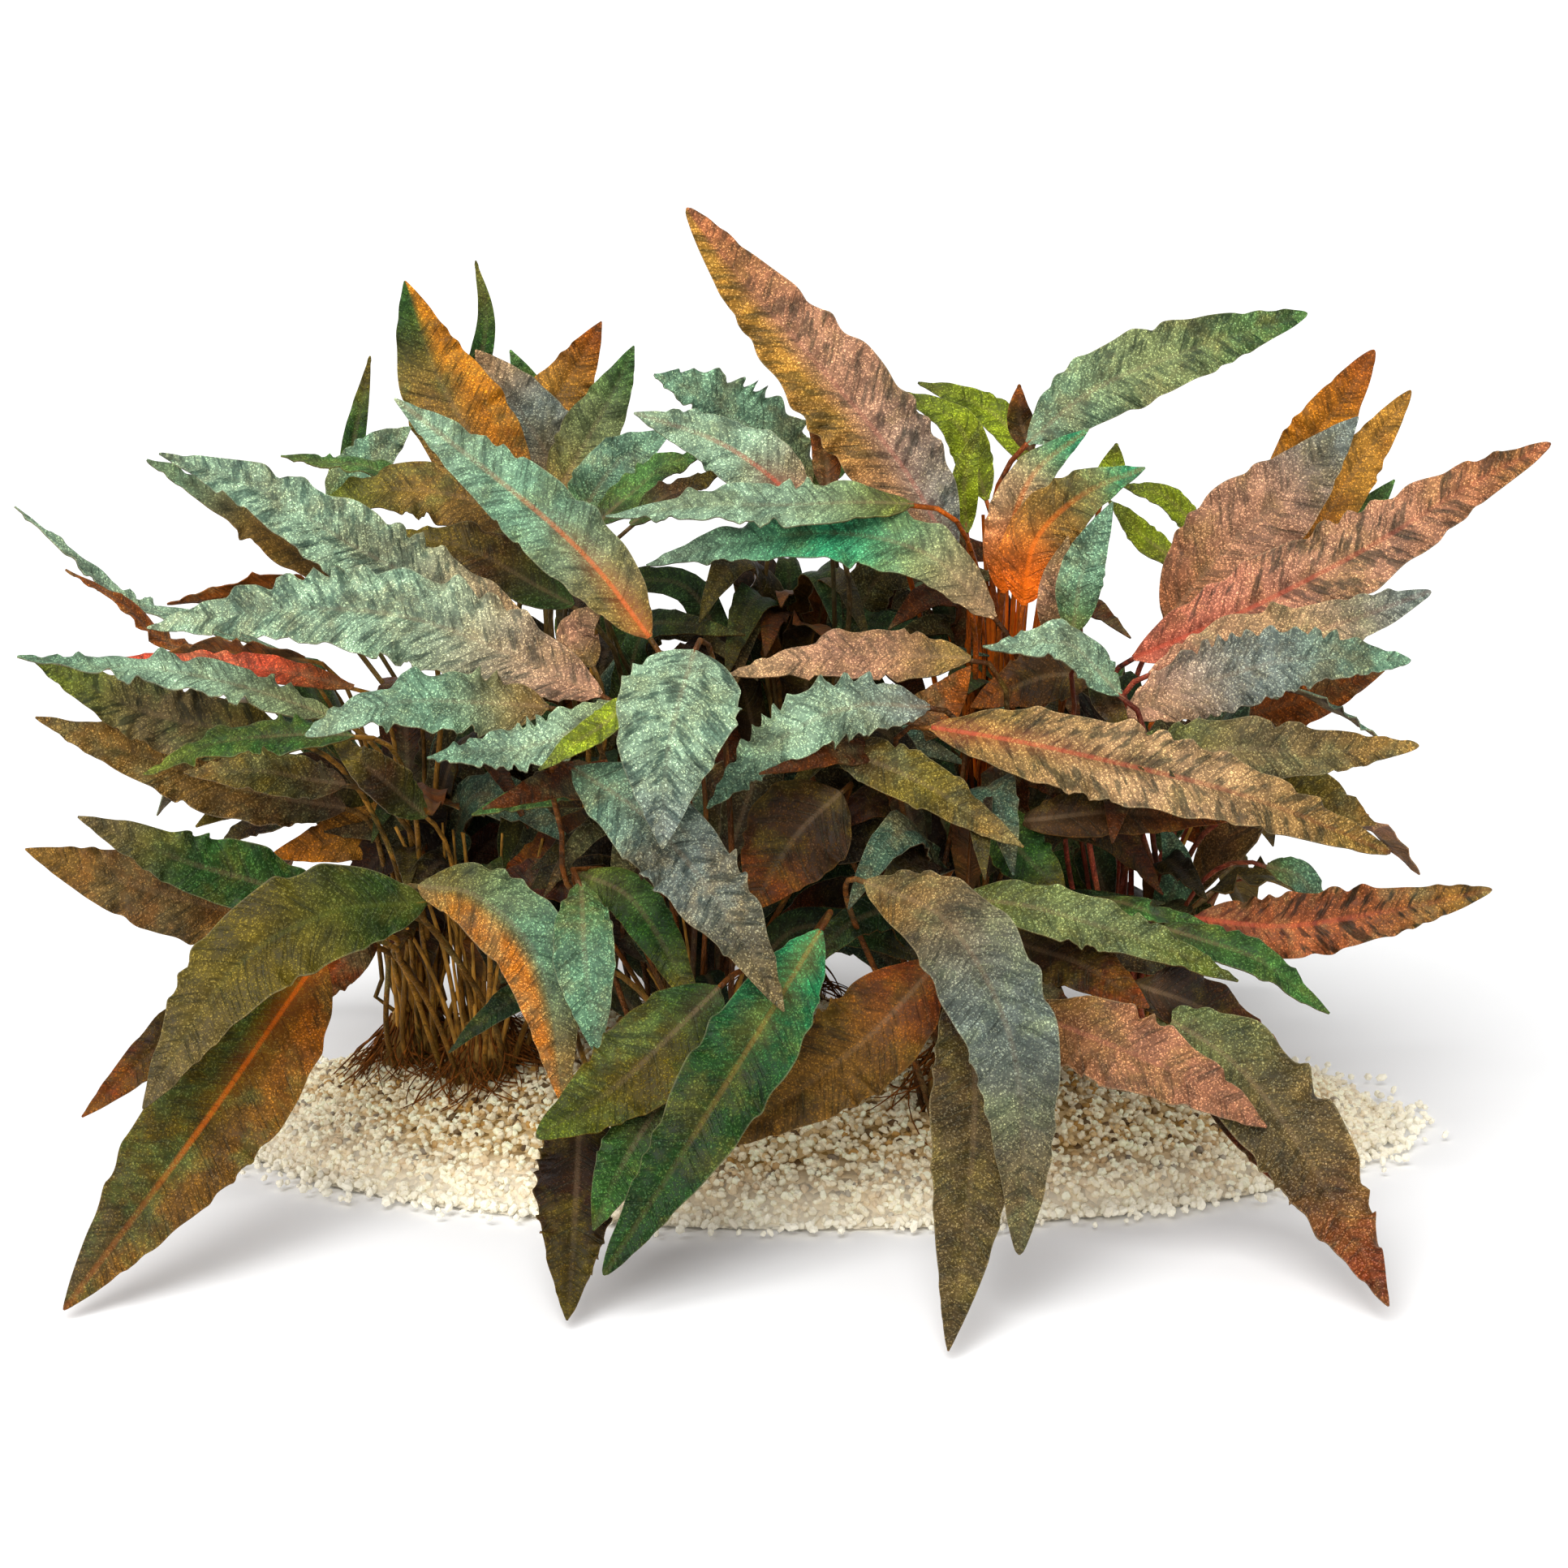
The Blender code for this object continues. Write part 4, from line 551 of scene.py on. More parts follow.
# %% Blades slide apart
CELL = 3.5
CLEARANCE = 3.4
ROUNDS = 260
LARGEST_SLIDE = 8.0
SAND_CLEARANCE = 1.5


def crossings(starts, group_cell, group_part):
    """Pairs of groups, of two different leaves, that the view shows in the same cell."""
    pairs = []
    first = 0
    while first < len(starts):
        last = first
        while last < len(starts) and group_cell[last] == group_cell[first]:
            last += 1
        pairs += [(a, b) for a in range(first, last) for b in range(a + 1, last)
                  if group_part[a] // 2 != group_part[b] // 2]
        first = last
    return np.array(pairs)


def settle(leaves):
    """Slides crossing leaves apart along the line of sight, as leaves push each other aside."""
    steps = STALK_STEPS - 1 + BLADE_STEPS
    shares = np.linspace(-1, 1, 7)
    station, part, offset, spots = [], [], [], []
    for i, leaf in enumerate(leaves):
        across, _ = leaf.frames()
        widths = leaf.half_widths()
        for share in shares:
            at = leaf.line + across * (widths * share)[:, None]
            station.append(i * steps + np.arange(steps))
            part.append(2 * i + (np.arange(steps) >= STALK_STEPS))
            offset.append(at[:, 1] - leaf.line[:, 1])
            spots.append(at)
    station, part, offset = (np.concatenate(v) for v in (station, part, offset))
    spots = np.vstack(spots)
    right, up = read_in_view(spots)
    cell = np.round(right / CELL).astype(int) * 1000 + np.round(up / CELL).astype(int)
    limit = sand_depth(spots)
    limit[spots[:, 1] > limit] = FREE_DEPTH
    group_key = (cell + 200000) * (2 * len(leaves)) + part
    order = np.argsort(group_key, kind="stable")
    station, offset, part, cell, limit = (v[order] for v in (station, offset, part, cell, limit))
    group_key = group_key[order]
    starts = np.flatnonzero(np.concatenate([[True], np.diff(group_key) != 0]))
    group_of = np.cumsum(np.concatenate([[False], np.diff(group_key) != 0]))
    group_part, group_cell = part[starts], cell[starts]
    pairs = crossings(starts, group_cell, group_part)
    rest = np.concatenate([leaf.line[:, 1] for leaf in leaves])
    depth = rest
    here = depth[station] + offset
    counts = np.diff(np.append(starts, len(group_key)))
    middle = np.add.reduceat(here, starts) / counts
    votes = {}
    for a, b in pairs:
        key = (group_part[a], group_part[b])
        votes[key] = votes.get(key, 0.0) + middle[b] - middle[a]
    ahead = np.array([votes[(group_part[a], group_part[b])] >= 0 for a, b in pairs])
    front = np.where(ahead, pairs[:, 0], pairs[:, 1])
    back = np.where(ahead, pairs[:, 1], pairs[:, 0])
    looseness = np.clip((np.arange(steps) - 1) / (STALK_STEPS * 0.2), 0, 1)
    looseness = np.tile(looseness, len(leaves))
    kernel = np.hanning(11)[1:-1]
    kernel /= kernel.sum()
    for _ in range(ROUNDS):
        here = depth[station] + offset
        near, far = np.minimum.reduceat(here, starts), np.maximum.reduceat(here, starts)
        short = np.clip(CLEARANCE - (near[back] - far[front]), 0, LARGEST_SLIDE)
        forward, backward = np.zeros(len(starts)), np.zeros(len(starts))
        np.maximum.at(forward, front, short)
        np.maximum.at(backward, back, short)
        push_out, push_in = np.zeros(len(depth)), np.zeros(len(depth))
        np.maximum.at(push_out, station, forward[group_of])
        np.maximum.at(push_in, station, backward[group_of])
        push = (push_in - push_out) * looseness * 0.5
        excess = np.zeros(len(depth))
        np.maximum.at(excess, station, depth[station] + offset - limit + SAND_CLEARANCE)
        moved = (depth - rest + push - excess) * looseness
        moved = np.concatenate([np.convolve(np.pad(row, 4, mode="edge"), kernel, mode="valid")
                                for row in moved.reshape(-1, steps)])
        depth = rest + moved
    for i, leaf in enumerate(leaves):
        line = depth[i * steps:(i + 1) * steps]
        leaf.line = slide(leaf.line, line)


print("blades keep", CLEARANCE, "mm apart in depth")

# %% [markdown]
# The stalks stand too close for sliding alone.  They are bent sideways round one another
# and round blades, as they grow on the real plant, and their two ends stay where they
# are.  Then every leaf can be grown.

# %% Stalks bend aside
STALK_ROOM = 4.3
STALK_ROUNDS = 60
STALK_PUSH = 0.3
LARGEST_PUSH = 1.2


def part_stalks(leaves):
    """Bends stalks sideways around one another and around blades, with both ends held."""
    shares = (-1.0, -0.5, 0.0, 0.5, 1.0)
    held = np.sin(np.linspace(0, math.pi, STALK_STEPS))[:, None]
    held = np.clip(held * 6, 0, 1)
    kernel = np.array([1.0, 2.0, 3.0, 2.0, 1.0]) / 9
    blades = []
    for leaf in leaves:
        across, _ = leaf.frames()
        widths = leaf.half_widths()
        blade = slice(STALK_STEPS + 1, None)
        blades.append(np.vstack([leaf.line[blade] + across[blade] * (widths[blade] * share)[:, None]
                                 for share in shares]))
    for _ in range(STALK_ROUNDS):
        points = [np.vstack([leaf.line[:STALK_STEPS], blade]) for leaf, blade in zip(leaves, blades)]
        owners = np.concatenate([np.full(len(group), i) for i, group in enumerate(points)])
        points = np.vstack(points)
        tree = KDTree(len(points))
        for i, point in enumerate(points):
            tree.insert(point, i)
        tree.balance()
        for i, leaf in enumerate(leaves):
            push = np.zeros((STALK_STEPS, 3))
            for k in range(1, STALK_STEPS - 1):
                here = leaf.line[k]
                for near, index, distance in tree.find_range(here, STALK_ROOM):
                    if owners[index] != i:
                        away = here - np.array(near)
                        away[2] = 0.0
                        length = max(np.linalg.norm(away), 0.05)
                        push[k] += away / length * (STALK_ROOM - distance) * STALK_PUSH
            length = np.linalg.norm(push, axis=1, keepdims=True)
            push *= np.minimum(1.0, LARGEST_PUSH / np.maximum(length, 0.01))
            for axis in range(2):
                push[:, axis] = np.convolve(push[:, axis], kernel, mode="same")
            leaf.line[:STALK_STEPS] += push * held


def grow_leaves():
    """Every leaf, with its line settled among the others."""
    leaves = []
    for name, crown, width, face, ruffle, tint, readings in LEAVES:
        blade = [place(*reading) for reading in readings]
        leaves.append(Leaf(name, crown, width, face, ruffle, tint, blade))
    for crown, width, face, ruffle, tint, readings in SMALL_LEAVES:
        blade = [place(*reading) for reading in readings]
        leaves.append(Leaf("", crown, width, face, ruffle, tint, blade))
    for crown, bearing, reach, rise, drop, width, face, tint in HIDDEN_LEAVES:
        blade = hidden_points(crown, bearing, reach, rise, drop)
        leaves.append(Leaf("", crown, width, face, 1.0, tint, blade))
    spread_feet(leaves)
    settle(leaves)
    part_stalks(leaves)
    return leaves


leaves = grow_leaves()
tallest = max(leaf.line[:, 2].max() for leaf in leaves)
print(len(leaves), "leaves, the highest at", round(tallest), "mm")

# %% [markdown]
# On the real plant one leaf is much like another: a strap with a point, a sunken
# midrib and a margin that waves.  Modelling 140 of them one by one would take days.
# One flat leaf is enough.  It is a grid, given a back and a rim by Solidify, and a
# round stalk that runs on under the blade as its midrib.  Copies of it are bent later.

# %% A flat leaf
BLADE_THICKNESS = 0.42
STALK_RADIUS = 0.7
STALK_SIDES = 8
STALK_PAST_FOOT = 0.07
RIB_REACH = 0.82


def only(*things):
    """Selects these objects and nothing else, with the first one active."""
    bpy.ops.object.select_all(action="DESELECT")
    for thing in things:
        thing.select_set(True)
    bpy.context.view_layer.objects.active = things[0]


def outward():
    """Ends an edit with every face pointing outwards."""
    bpy.ops.mesh.select_all(action="SELECT")
    bpy.ops.mesh.normals_make_consistent(inside=False)
    bpy.ops.object.mode_set(mode="OBJECT")


def taken(thing):
    """A copy of an object's mesh, with the object itself removed."""
    mesh = thing.data.copy()
    bpy.data.objects.remove(thing)
    return mesh


def flat_leaf(along, across, stalk_sections):
    """A leaf laid flat: x runs across it, y from the foot at -1 over the base at 0 to the tip at 1."""
    bpy.ops.mesh.primitive_circle_add(vertices=STALK_SIDES, radius=1.0, fill_type="NGON",
                                      rotation=(math.pi / 2, 0, 0),
                                      location=(0, -1 - STALK_PAST_FOOT, 0))
    stalk = bpy.context.object
    bpy.ops.object.transform_apply(location=True, rotation=True)
    bpy.ops.object.mode_set(mode="EDIT")
    bpy.ops.mesh.select_all(action="SELECT")
    step = (1 + STALK_PAST_FOOT + RIB_REACH) / stalk_sections
    for _ in range(stalk_sections):
        bpy.ops.mesh.extrude_region_move(TRANSFORM_OT_translate={"value": (0, step, 0)})
    outward()
    bpy.ops.mesh.primitive_grid_add(x_subdivisions=across, y_subdivisions=along, size=2)
    blade = bpy.context.object
    bpy.ops.object.mode_set(mode="EDIT")
    bpy.ops.transform.resize(value=(1, 0.5, 1), center_override=(0, 0, 0))
    bpy.ops.transform.translate(value=(0, 0.5, 0))
    bpy.ops.object.mode_set(mode="OBJECT")
    back = blade.modifiers.new("back and rim", "SOLIDIFY")
    back.thickness = 1.0
    back.offset = -1.0
    bpy.ops.object.modifier_apply(modifier=back.name)
    blade_points = len(blade.data.vertices)
    only(blade, stalk)
    bpy.ops.object.join()
    bpy.ops.object.shade_smooth_by_angle(angle=math.radians(60))
    return taken(blade), blade_points


LARGE_FLAT = flat_leaf(110, 14, 44)
SMALL_FLAT = flat_leaf(40, 10, 24)
for flat, blade_points in (LARGE_FLAT, SMALL_FLAT):
    print("flat leaf:", len(flat.polygons), "faces,", blade_points, "points in its blade")

# %% [markdown]
# Bending the flat leaf is where it comes alive.  The blade follows the leaf's line,
# its halves arch a little beside the sunken midrib, and the margin waves.  The waves
# are sines whose spacing drifts, so no two are alike, and they fade to nothing at the
# midrib, at the base and at the tip.  A Displace modifier could do it with a texture,
# but it wouldn't know which way the margin runs.

# %% Bending a leaf
WAVE_LENGTH = 11.5
TIGHT_WAVE_LENGTH = 8.5
WAVE_HEIGHT = 1.6
SAW_LENGTH = 4.8
SCALLOP = 0.055
GROOVE = 0.32
GROOVE_WIDTH = 1.1
SAW_EDGED = ("leaf_front_saw_edged", "leaf_top_serrated", "leaf_middle_left_pale",
             "leaf_right_grey_point", "leaf_front_bottom_brown")
ARCH = 0.07
FOLD = 0.05
SWAY = 0.7
FULLNESS = 0.12
BLUNT_FULLNESS = 0.3
DROP_WIDTH, DROP_TAPER = 1.02, 0.32
BLUNT = ("leaf_top_tall", "leaf_front_right_drop", "leaf_front_left_pale", "leaf_front_olive_low",
         "leaf_front_lower_green", "leaf_top_right_long", "leaf_right_long", "leaf_right_low_ruffled",
         "leaf_back_right_gold", "leaf_back_right_brown", "leaf_right_low_bronze", "leaf_right_speckled",
         "leaf_right_grey_point", "leaf_front_right_long")
TIP_HALF_WIDTH = 0.5
TIP_ROUNDING = 0.02


def read_line(values, steps):
    """Catmull-Rom readings of evenly kept values, at fractional steps."""
    last = len(values) - 1
    steps = np.clip(steps, 0, last - 1e-6)
    first = steps.astype(int)
    t = (steps - first)[:, None]
    return catmull(*(values[np.clip(first + i, 0, last)] for i in (-1, 0, 1, 2)), t)


def bend(leaf, flat, blade_points, seed):
    """Where a flat leaf's points go on one real leaf, in millimetres."""
    x, t, z = flat.T
    steps = np.where(t < 0, (1 + t) * (STALK_STEPS - 1), STALK_STEPS - 1 + t * (BLADE_STEPS - 1))
    directions, outward = leaf.frames()
    centre = read_line(leaf.line, steps)
    past = np.clip(-1 - t, 0, None)[:, None]
    centre = centre + (leaf.line[0] - leaf.line[1]) * past * STALK_STEPS
    across = unit(read_line(directions, steps))
    out = unit(read_line(outward, steps))
    on_blade = np.arange(len(x)) < blade_points
    length = leaf.blade_length()
    sawn = leaf.name in SAW_EDGED
    waves = length / (SAW_LENGTH if sawn else TIGHT_WAVE_LENGTH if leaf.ruffle >= 1.8 else WAVE_LENGTH)
    drift = (0.45 * np.sin(2 * math.pi * (1.3 * t + seed + 0.3 * (x > 0)))
             + 0.3 * np.sin(2 * math.pi * (3.1 * t + 2 * seed + 0.4 * (x > 0))))
    phase = 2 * math.pi * (waves * t + drift) + np.where(x > 0, 1.9 + seed, 0.0)
    swell = (0.8 + 0.35 * np.sin(2 * math.pi * (2.3 * t + 1.7 * seed) + x)
             + 0.35 * np.sin(2 * math.pi * (5.1 * t + 3.1 * seed) - 2 * x))
    fade = np.sin(math.pi * np.clip(t, 0, 1)) ** 0.6
    strength = min(leaf.ruffle, 1.5) * min(1.0, leaf.half_width / 8)
    edge = np.abs(x) ** (4.0 if sawn else 3.0)
    wave = np.sin(phase) + 0.35 * np.sin(2.3 * phase + 1.0)
    fullness = BLUNT_FULLNESS if leaf.name in BLUNT else FULLNESS
    wide = leaf.half_width * blade_profile(t) ** (1 - fullness * np.clip((t - 0.6) / 0.4, 0, 1))
    if leaf.name == "leaf_front_drop":
        wide = wide * (DROP_WIDTH - DROP_TAPER * np.clip(t, 0, 1))
    wide = np.maximum(wide, TIP_HALF_WIDTH * np.sqrt(np.clip((1 - t) / TIP_ROUNDING, 0, 1)) * (t > 0.9))
    wide = np.maximum(wide, np.maximum(STALK_RADIUS * (1 - 3 * t), 0.2))
    cut = 0.5 * (1 + np.sin(phase + 0.9)) ** 1.5 if sawn else np.sin(phase + 0.9)
    scalloped = wide * (1 + SCALLOP * strength * fade * np.abs(x) ** 3 * cut * (1.6 if sawn else 1.0))
    sway = SWAY * np.sin(2 * math.pi * (1.4 * t + seed)) * 4 * t * (1 - t)
    lift = (WAVE_HEIGHT * strength * fade * swell * edge * wave
            - GROOVE * np.exp(-(x * wide / GROOVE_WIDTH) ** 2) * fade
            + ARCH * wide * np.sin(math.pi * np.abs(x)) + FOLD * wide * np.abs(x)
            + sway + z * BLADE_THICKNESS)
    blade = centre + across * (x * scalloped)[:, None] + out * lift[:, None]
    taper = np.where(t < 0, 1.0 - 0.12 * (1 + t), 0.88 * (1 - np.clip(t, 0, 1) / (RIB_REACH + 0.03)))
    radius = STALK_RADIUS * taper * (0.85 if leaf.half_width < 6 else 1.0)
    under = np.clip((t + 0.06) / 0.12, 0, 1) * (radius * 0.8 + GROOVE + BLADE_THICKNESS * 0.4)
    under = under - np.where(t > 0, sway, 0.0)
    stalk = centre + across * (x * radius * 1.1)[:, None] + out * (z * radius - under)[:, None]
    return np.where(on_blade[:, None], blade, stalk), wide


print("waves of", WAVE_LENGTH, "mm, or", TIGHT_WAVE_LENGTH, "on the tightest margins")

# %% [markdown]
# Deeper in, a grown clump is packed with narrow older leaves, half of them in full
# shade.  They close the gaps between the stalks.  Each stands between the crown and
# the ends of its larger leaves, so none shows outside them.  They are grown by the
# same class from a few random numbers, instead of being placed one by one.

# %% The inner leaves
INNER_FLAT = flat_leaf(26, 6, 12)
INNER_TINTS = ("dark", "olive", "brown", "green", "bronze", "dark", "rust", "teal")
INNER_COUNTS = {"left": 22, "left_front": 14, "left_back": 26, "middle_front": 26,
                "middle_back": 54, "right_front": 24, "right": 22, "young": 34}
INNER_HEIGHTS = {"left": 106, "left_front": 80, "left_back": 128, "middle_front": 112,
                 "middle_back": 142, "right_front": 112, "right": 112, "young": 132}
# The inner leaves' colours are darkened to this share: painted shade, on top of the shade that falls on them.
INNER_SHADE = 0.4
INNER_REACH, INNER_LOWEST, INNER_DROP, INNER_WIDTH = (22, 60), 52, 22, (7, 15)
INNER_FURTHEST = 112
lot = np.random.default_rng(21)


def inner_leaf(crown):
    """A narrow leaf that rises steeply out of its crown and ends inside the clump."""
    bearing = lot.uniform(0, 360)
    reach = lot.uniform(*INNER_REACH)
    rise = lot.uniform(INNER_LOWEST, INNER_HEIGHTS[crown])
    drop = lot.uniform(0, INNER_DROP)
    tip = CROWNS[crown][0] + reach * math.cos(math.radians(bearing))
    if abs(tip) > INNER_FURTHEST:
        bearing = 180 - bearing
    tint = INNER_TINTS[lot.integers(len(INNER_TINTS))]
    blade = hidden_points(crown, bearing, reach, rise, drop)
    leaf = Leaf("", crown, lot.uniform(*INNER_WIDTH), 60, lot.uniform(0.8, 1.6), tint, blade)
    leaf.root_at(math.radians(bearing))
    return leaf


inner = [inner_leaf(crown) for crown, count in INNER_COUNTS.items() for _ in range(count)]
print(len(inner), "inner leaves of", len(INNER_FLAT[0].polygons), "faces")

# %% [markdown]
# The plant's colours come from how much light each leaf had.  Leaves on top are teal
# and mint, those at the sides go pink and bronze, and the shaded ones olive, amber and
# rust.  A leaf also changes along its length, so it is given three colours, for its
# base, middle and tip.  Painting every leaf by hand is the other way.  Names in a short
# table are easier to read and to change.

# %% Leaf colours
PALETTE = {
    "sand cream": (250, 238, 204), "sand tan": (206, 176, 124),
    "mint": (144, 170, 142), "teal": (116, 150, 122), "emerald": (62, 156, 110),
    "sage": (126, 136, 90), "fern": (82, 120, 62), "forest": (50, 86, 32), "moss": (102, 112, 38),
    "olive": (112, 98, 28), "bronze": (140, 108, 52), "tan": (178, 144, 106), "pink": (178, 132, 104),
    "rose": (198, 114, 90), "slate": (118, 126, 118), "drab": (118, 102, 68),
    "clay": (164, 104, 66), "amber": (194, 126, 30),
    "gold": (174, 126, 50), "rust": (146, 80, 20), "umber": (74, 48, 14), "lime": (142, 158, 30),
    "orange": (255, 120, 20), "copper": (214, 104, 46), "straw": (176, 132, 62),
    "coral": (210, 86, 58), "cream": (244, 228, 176), "pale sand": (222, 208, 172),
    # The near-white that the sand is faded to towards its rim is painted light.
    "rim light white": (252, 246, 226), "pearl": (190, 206, 204), "gold stalk": (200, 138, 48),
}
GRADIENTS = {
    "leaf_left_thin": "teal mint mint",
    "leaf_left_folded": "umber bronze teal",
    "leaf_left_long": "tan mint mint",
    "leaf_left_ruffled": "pink mint mint",
    "leaf_left_low_green": "sage mint teal",
    "leaf_left_olive": "olive drab moss",
    "leaf_left_bronze": "umber bronze bronze",
    "leaf_left_dark_green": "forest forest moss",
    "leaf_left_teal_low": "forest forest drab",
    "leaf_left_gold_low": "gold drab bronze",
    "leaf_bottom_left_large": "moss olive drab",
    "leaf_bottom_left_green": "forest olive drab",
    "leaf_front_left_pale": "bronze teal mint",
    "leaf_middle_left_pale": "sage mint teal",
    "leaf_back_left_tall": "rust bronze forest",
    "leaf_back_left_grey": "bronze slate tan",
    "leaf_back_left_gold": "gold gold rust",
    "leaf_back_left_point": "bronze sage fern",
    "leaf_left_arched_olive": "umber bronze moss",
    "leaf_diagonal_orange_rib": "bronze teal mint",
    "leaf_top_tall": "slate pink clay",
    "leaf_top_serrated": "sage teal teal",
    "leaf_top_arched": "pink mint mint",
    "leaf_long_level": "moss mint mint",
    "leaf_long_bright": "tan emerald mint",
    "leaf_young_curl": "orange tan emerald",
    "leaf_young_point": "orange bronze emerald",
    "leaf_top_right_long": "teal sage fern",
    # The two leaves at the back right are gold and amber partly in their own colour and partly as painted
    # light, the glow of light shining through them.
    "leaf_back_right_gold": "gold amber rust",
    "leaf_back_right_brown": "amber gold gold",
    "leaf_right_broad_pink": "clay pink slate",
    "leaf_right_long": "rose pink clay",
    "leaf_right_speckled": "pink tan slate",
    "leaf_right_grey_point": "pink slate teal",
    "leaf_right_dark_under": "umber rust rust",
    "leaf_right_low_bronze": "moss drab bronze",
    "leaf_front_right_long": "bronze tan bronze",
    "leaf_front_saw_edged": "slate mint teal",
    "leaf_front_drop": "mint mint slate",
    "leaf_front_diagonal": "teal slate drab",
    "leaf_front_lower_green": "emerald forest forest",
    "leaf_front_bottom_brown": "umber umber olive",
    "leaf_front_olive_low": "forest olive moss",
    "leaf_front_left_blue": "olive teal bronze",
    "leaf_front_brown_low": "rust bronze bronze",
    "leaf_front_right_drop": "bronze slate drab",
    "leaf_front_bottom_long": "umber drab drab",
    "leaf_right_low_green": "moss sage moss",
    "leaf_right_low_ruffled": "clay clay bronze",
    "leaf_right_bottom_pink": "bronze pink pink",
    "leaf_bottom_right_large": "sage drab rust",
}
SIDE_COLOURS = {
    "leaf_bottom_left_large": ("amber", "bronze", -1),
    "leaf_front_left_blue": ("gold", "amber", 1),
    "leaf_back_left_tall": ("rust", "amber", 1),
    "leaf_top_tall": ("pink", "gold", -1),
}
TINT_GRADIENTS = {
    "teal": "fern teal teal", "green": "forest fern fern", "pale": "teal mint mint",
    "olive": "moss forest olive", "bronze": "umber olive bronze", "brown": "umber umber rust",
    "rust": "umber rust rust", "gold": "bronze gold amber", "pink": "bronze pink tan",
    "dark": "forest umber olive", "lime": "lime lime moss", "red": "rust coral coral",
}
STRIPED = {
    "leaf_top_tall": 0.7, "leaf_right_long": 0.8, "leaf_left_long": 0.8, "leaf_left_ruffled": 0.7,
    "leaf_back_left_tall": 0.5, "leaf_front_brown_low": 0.5, "leaf_right_low_ruffled": 1.0,
    "leaf_top_right_long": 0.7, "leaf_left_olive": 0.8, "leaf_front_right_long": 0.8,
    "leaf_front_diagonal": 0.7, "leaf_front_drop": 0.8, "leaf_bottom_left_large": 0.35,
}
ORDINARY_STRIPES = 0.45
print(len(PALETTE), "colours,", len(GRADIENTS), "leaves with three of their own")

# %% [markdown]
# A few leaves have a bright orange or coral midrib, and each crown has its own colour of
# stalk.  All of it is kept on the mesh as attributes, point by point, so that one
# material can serve many leaves.  A material for every leaf is the other way.

# %% Painting a leaf
RIBS = {
    "leaf_diagonal_orange_rib": ("copper", 0.95), "leaf_top_tall": ("rose", 0.5),
    "leaf_top_arched": ("coral", 0.9), "leaf_right_long": ("coral", 0.8),
    "leaf_front_right_long": ("coral", 0.7), "leaf_right_low_ruffled": ("coral", 0.6),
    "leaf_bottom_left_large": ("orange", 0.95), "leaf_bottom_left_green": ("moss", 0.3),
    "leaf_young_curl": ("orange", 1.0),
    "leaf_young_point": ("orange", 0.9), "leaf_right_speckled": ("coral", 0.5),
    "leaf_right_bottom_pink": ("rose", 0.4), "leaf_front_lower_green": ("gold", 0.45),
}
ORDINARY_RIB = ("tan", 0.28)
STALK_COLOURS = {"young": "orange", "right": "coral", "right_front": "rust", "left": "gold stalk",
                 "left_front": "gold stalk", "left_back": "bronze", "middle_front": "rust",
                 "middle_back": "bronze"}
LIT_HEIGHT = 110.0
TOP_BRIGHTNESS = 1.15
LOW_LEAF_PAINTED_SHADE = 0.5
SLOT_OF_TINT = {"dark": "leaf_green", "lime": "leaf_green", "red": "leaf_rust"}


def linear(name):
    """A palette colour, as the shader wants it."""
    value = np.array(PALETTE[name]) / 255
    return np.where(value < 0.04045, value / 12.92, ((value + 0.055) / 1.055) ** 2.4)


def gradient(names, t):
    """Three named colours blended along a leaf."""
    base, middle, tip = (linear(name) for name in names.split())
    t = np.clip(t, 0, 1)[:, None]
    low = np.clip(t / 0.5, 0, 1)
    high = np.clip((t - 0.5) / 0.45, 0, 1)
    low, high = low * low * (3 - 2 * low), high * high * (3 - 2 * high)
    return (base * (1 - low) + middle * low) * (1 - high) + tip * high


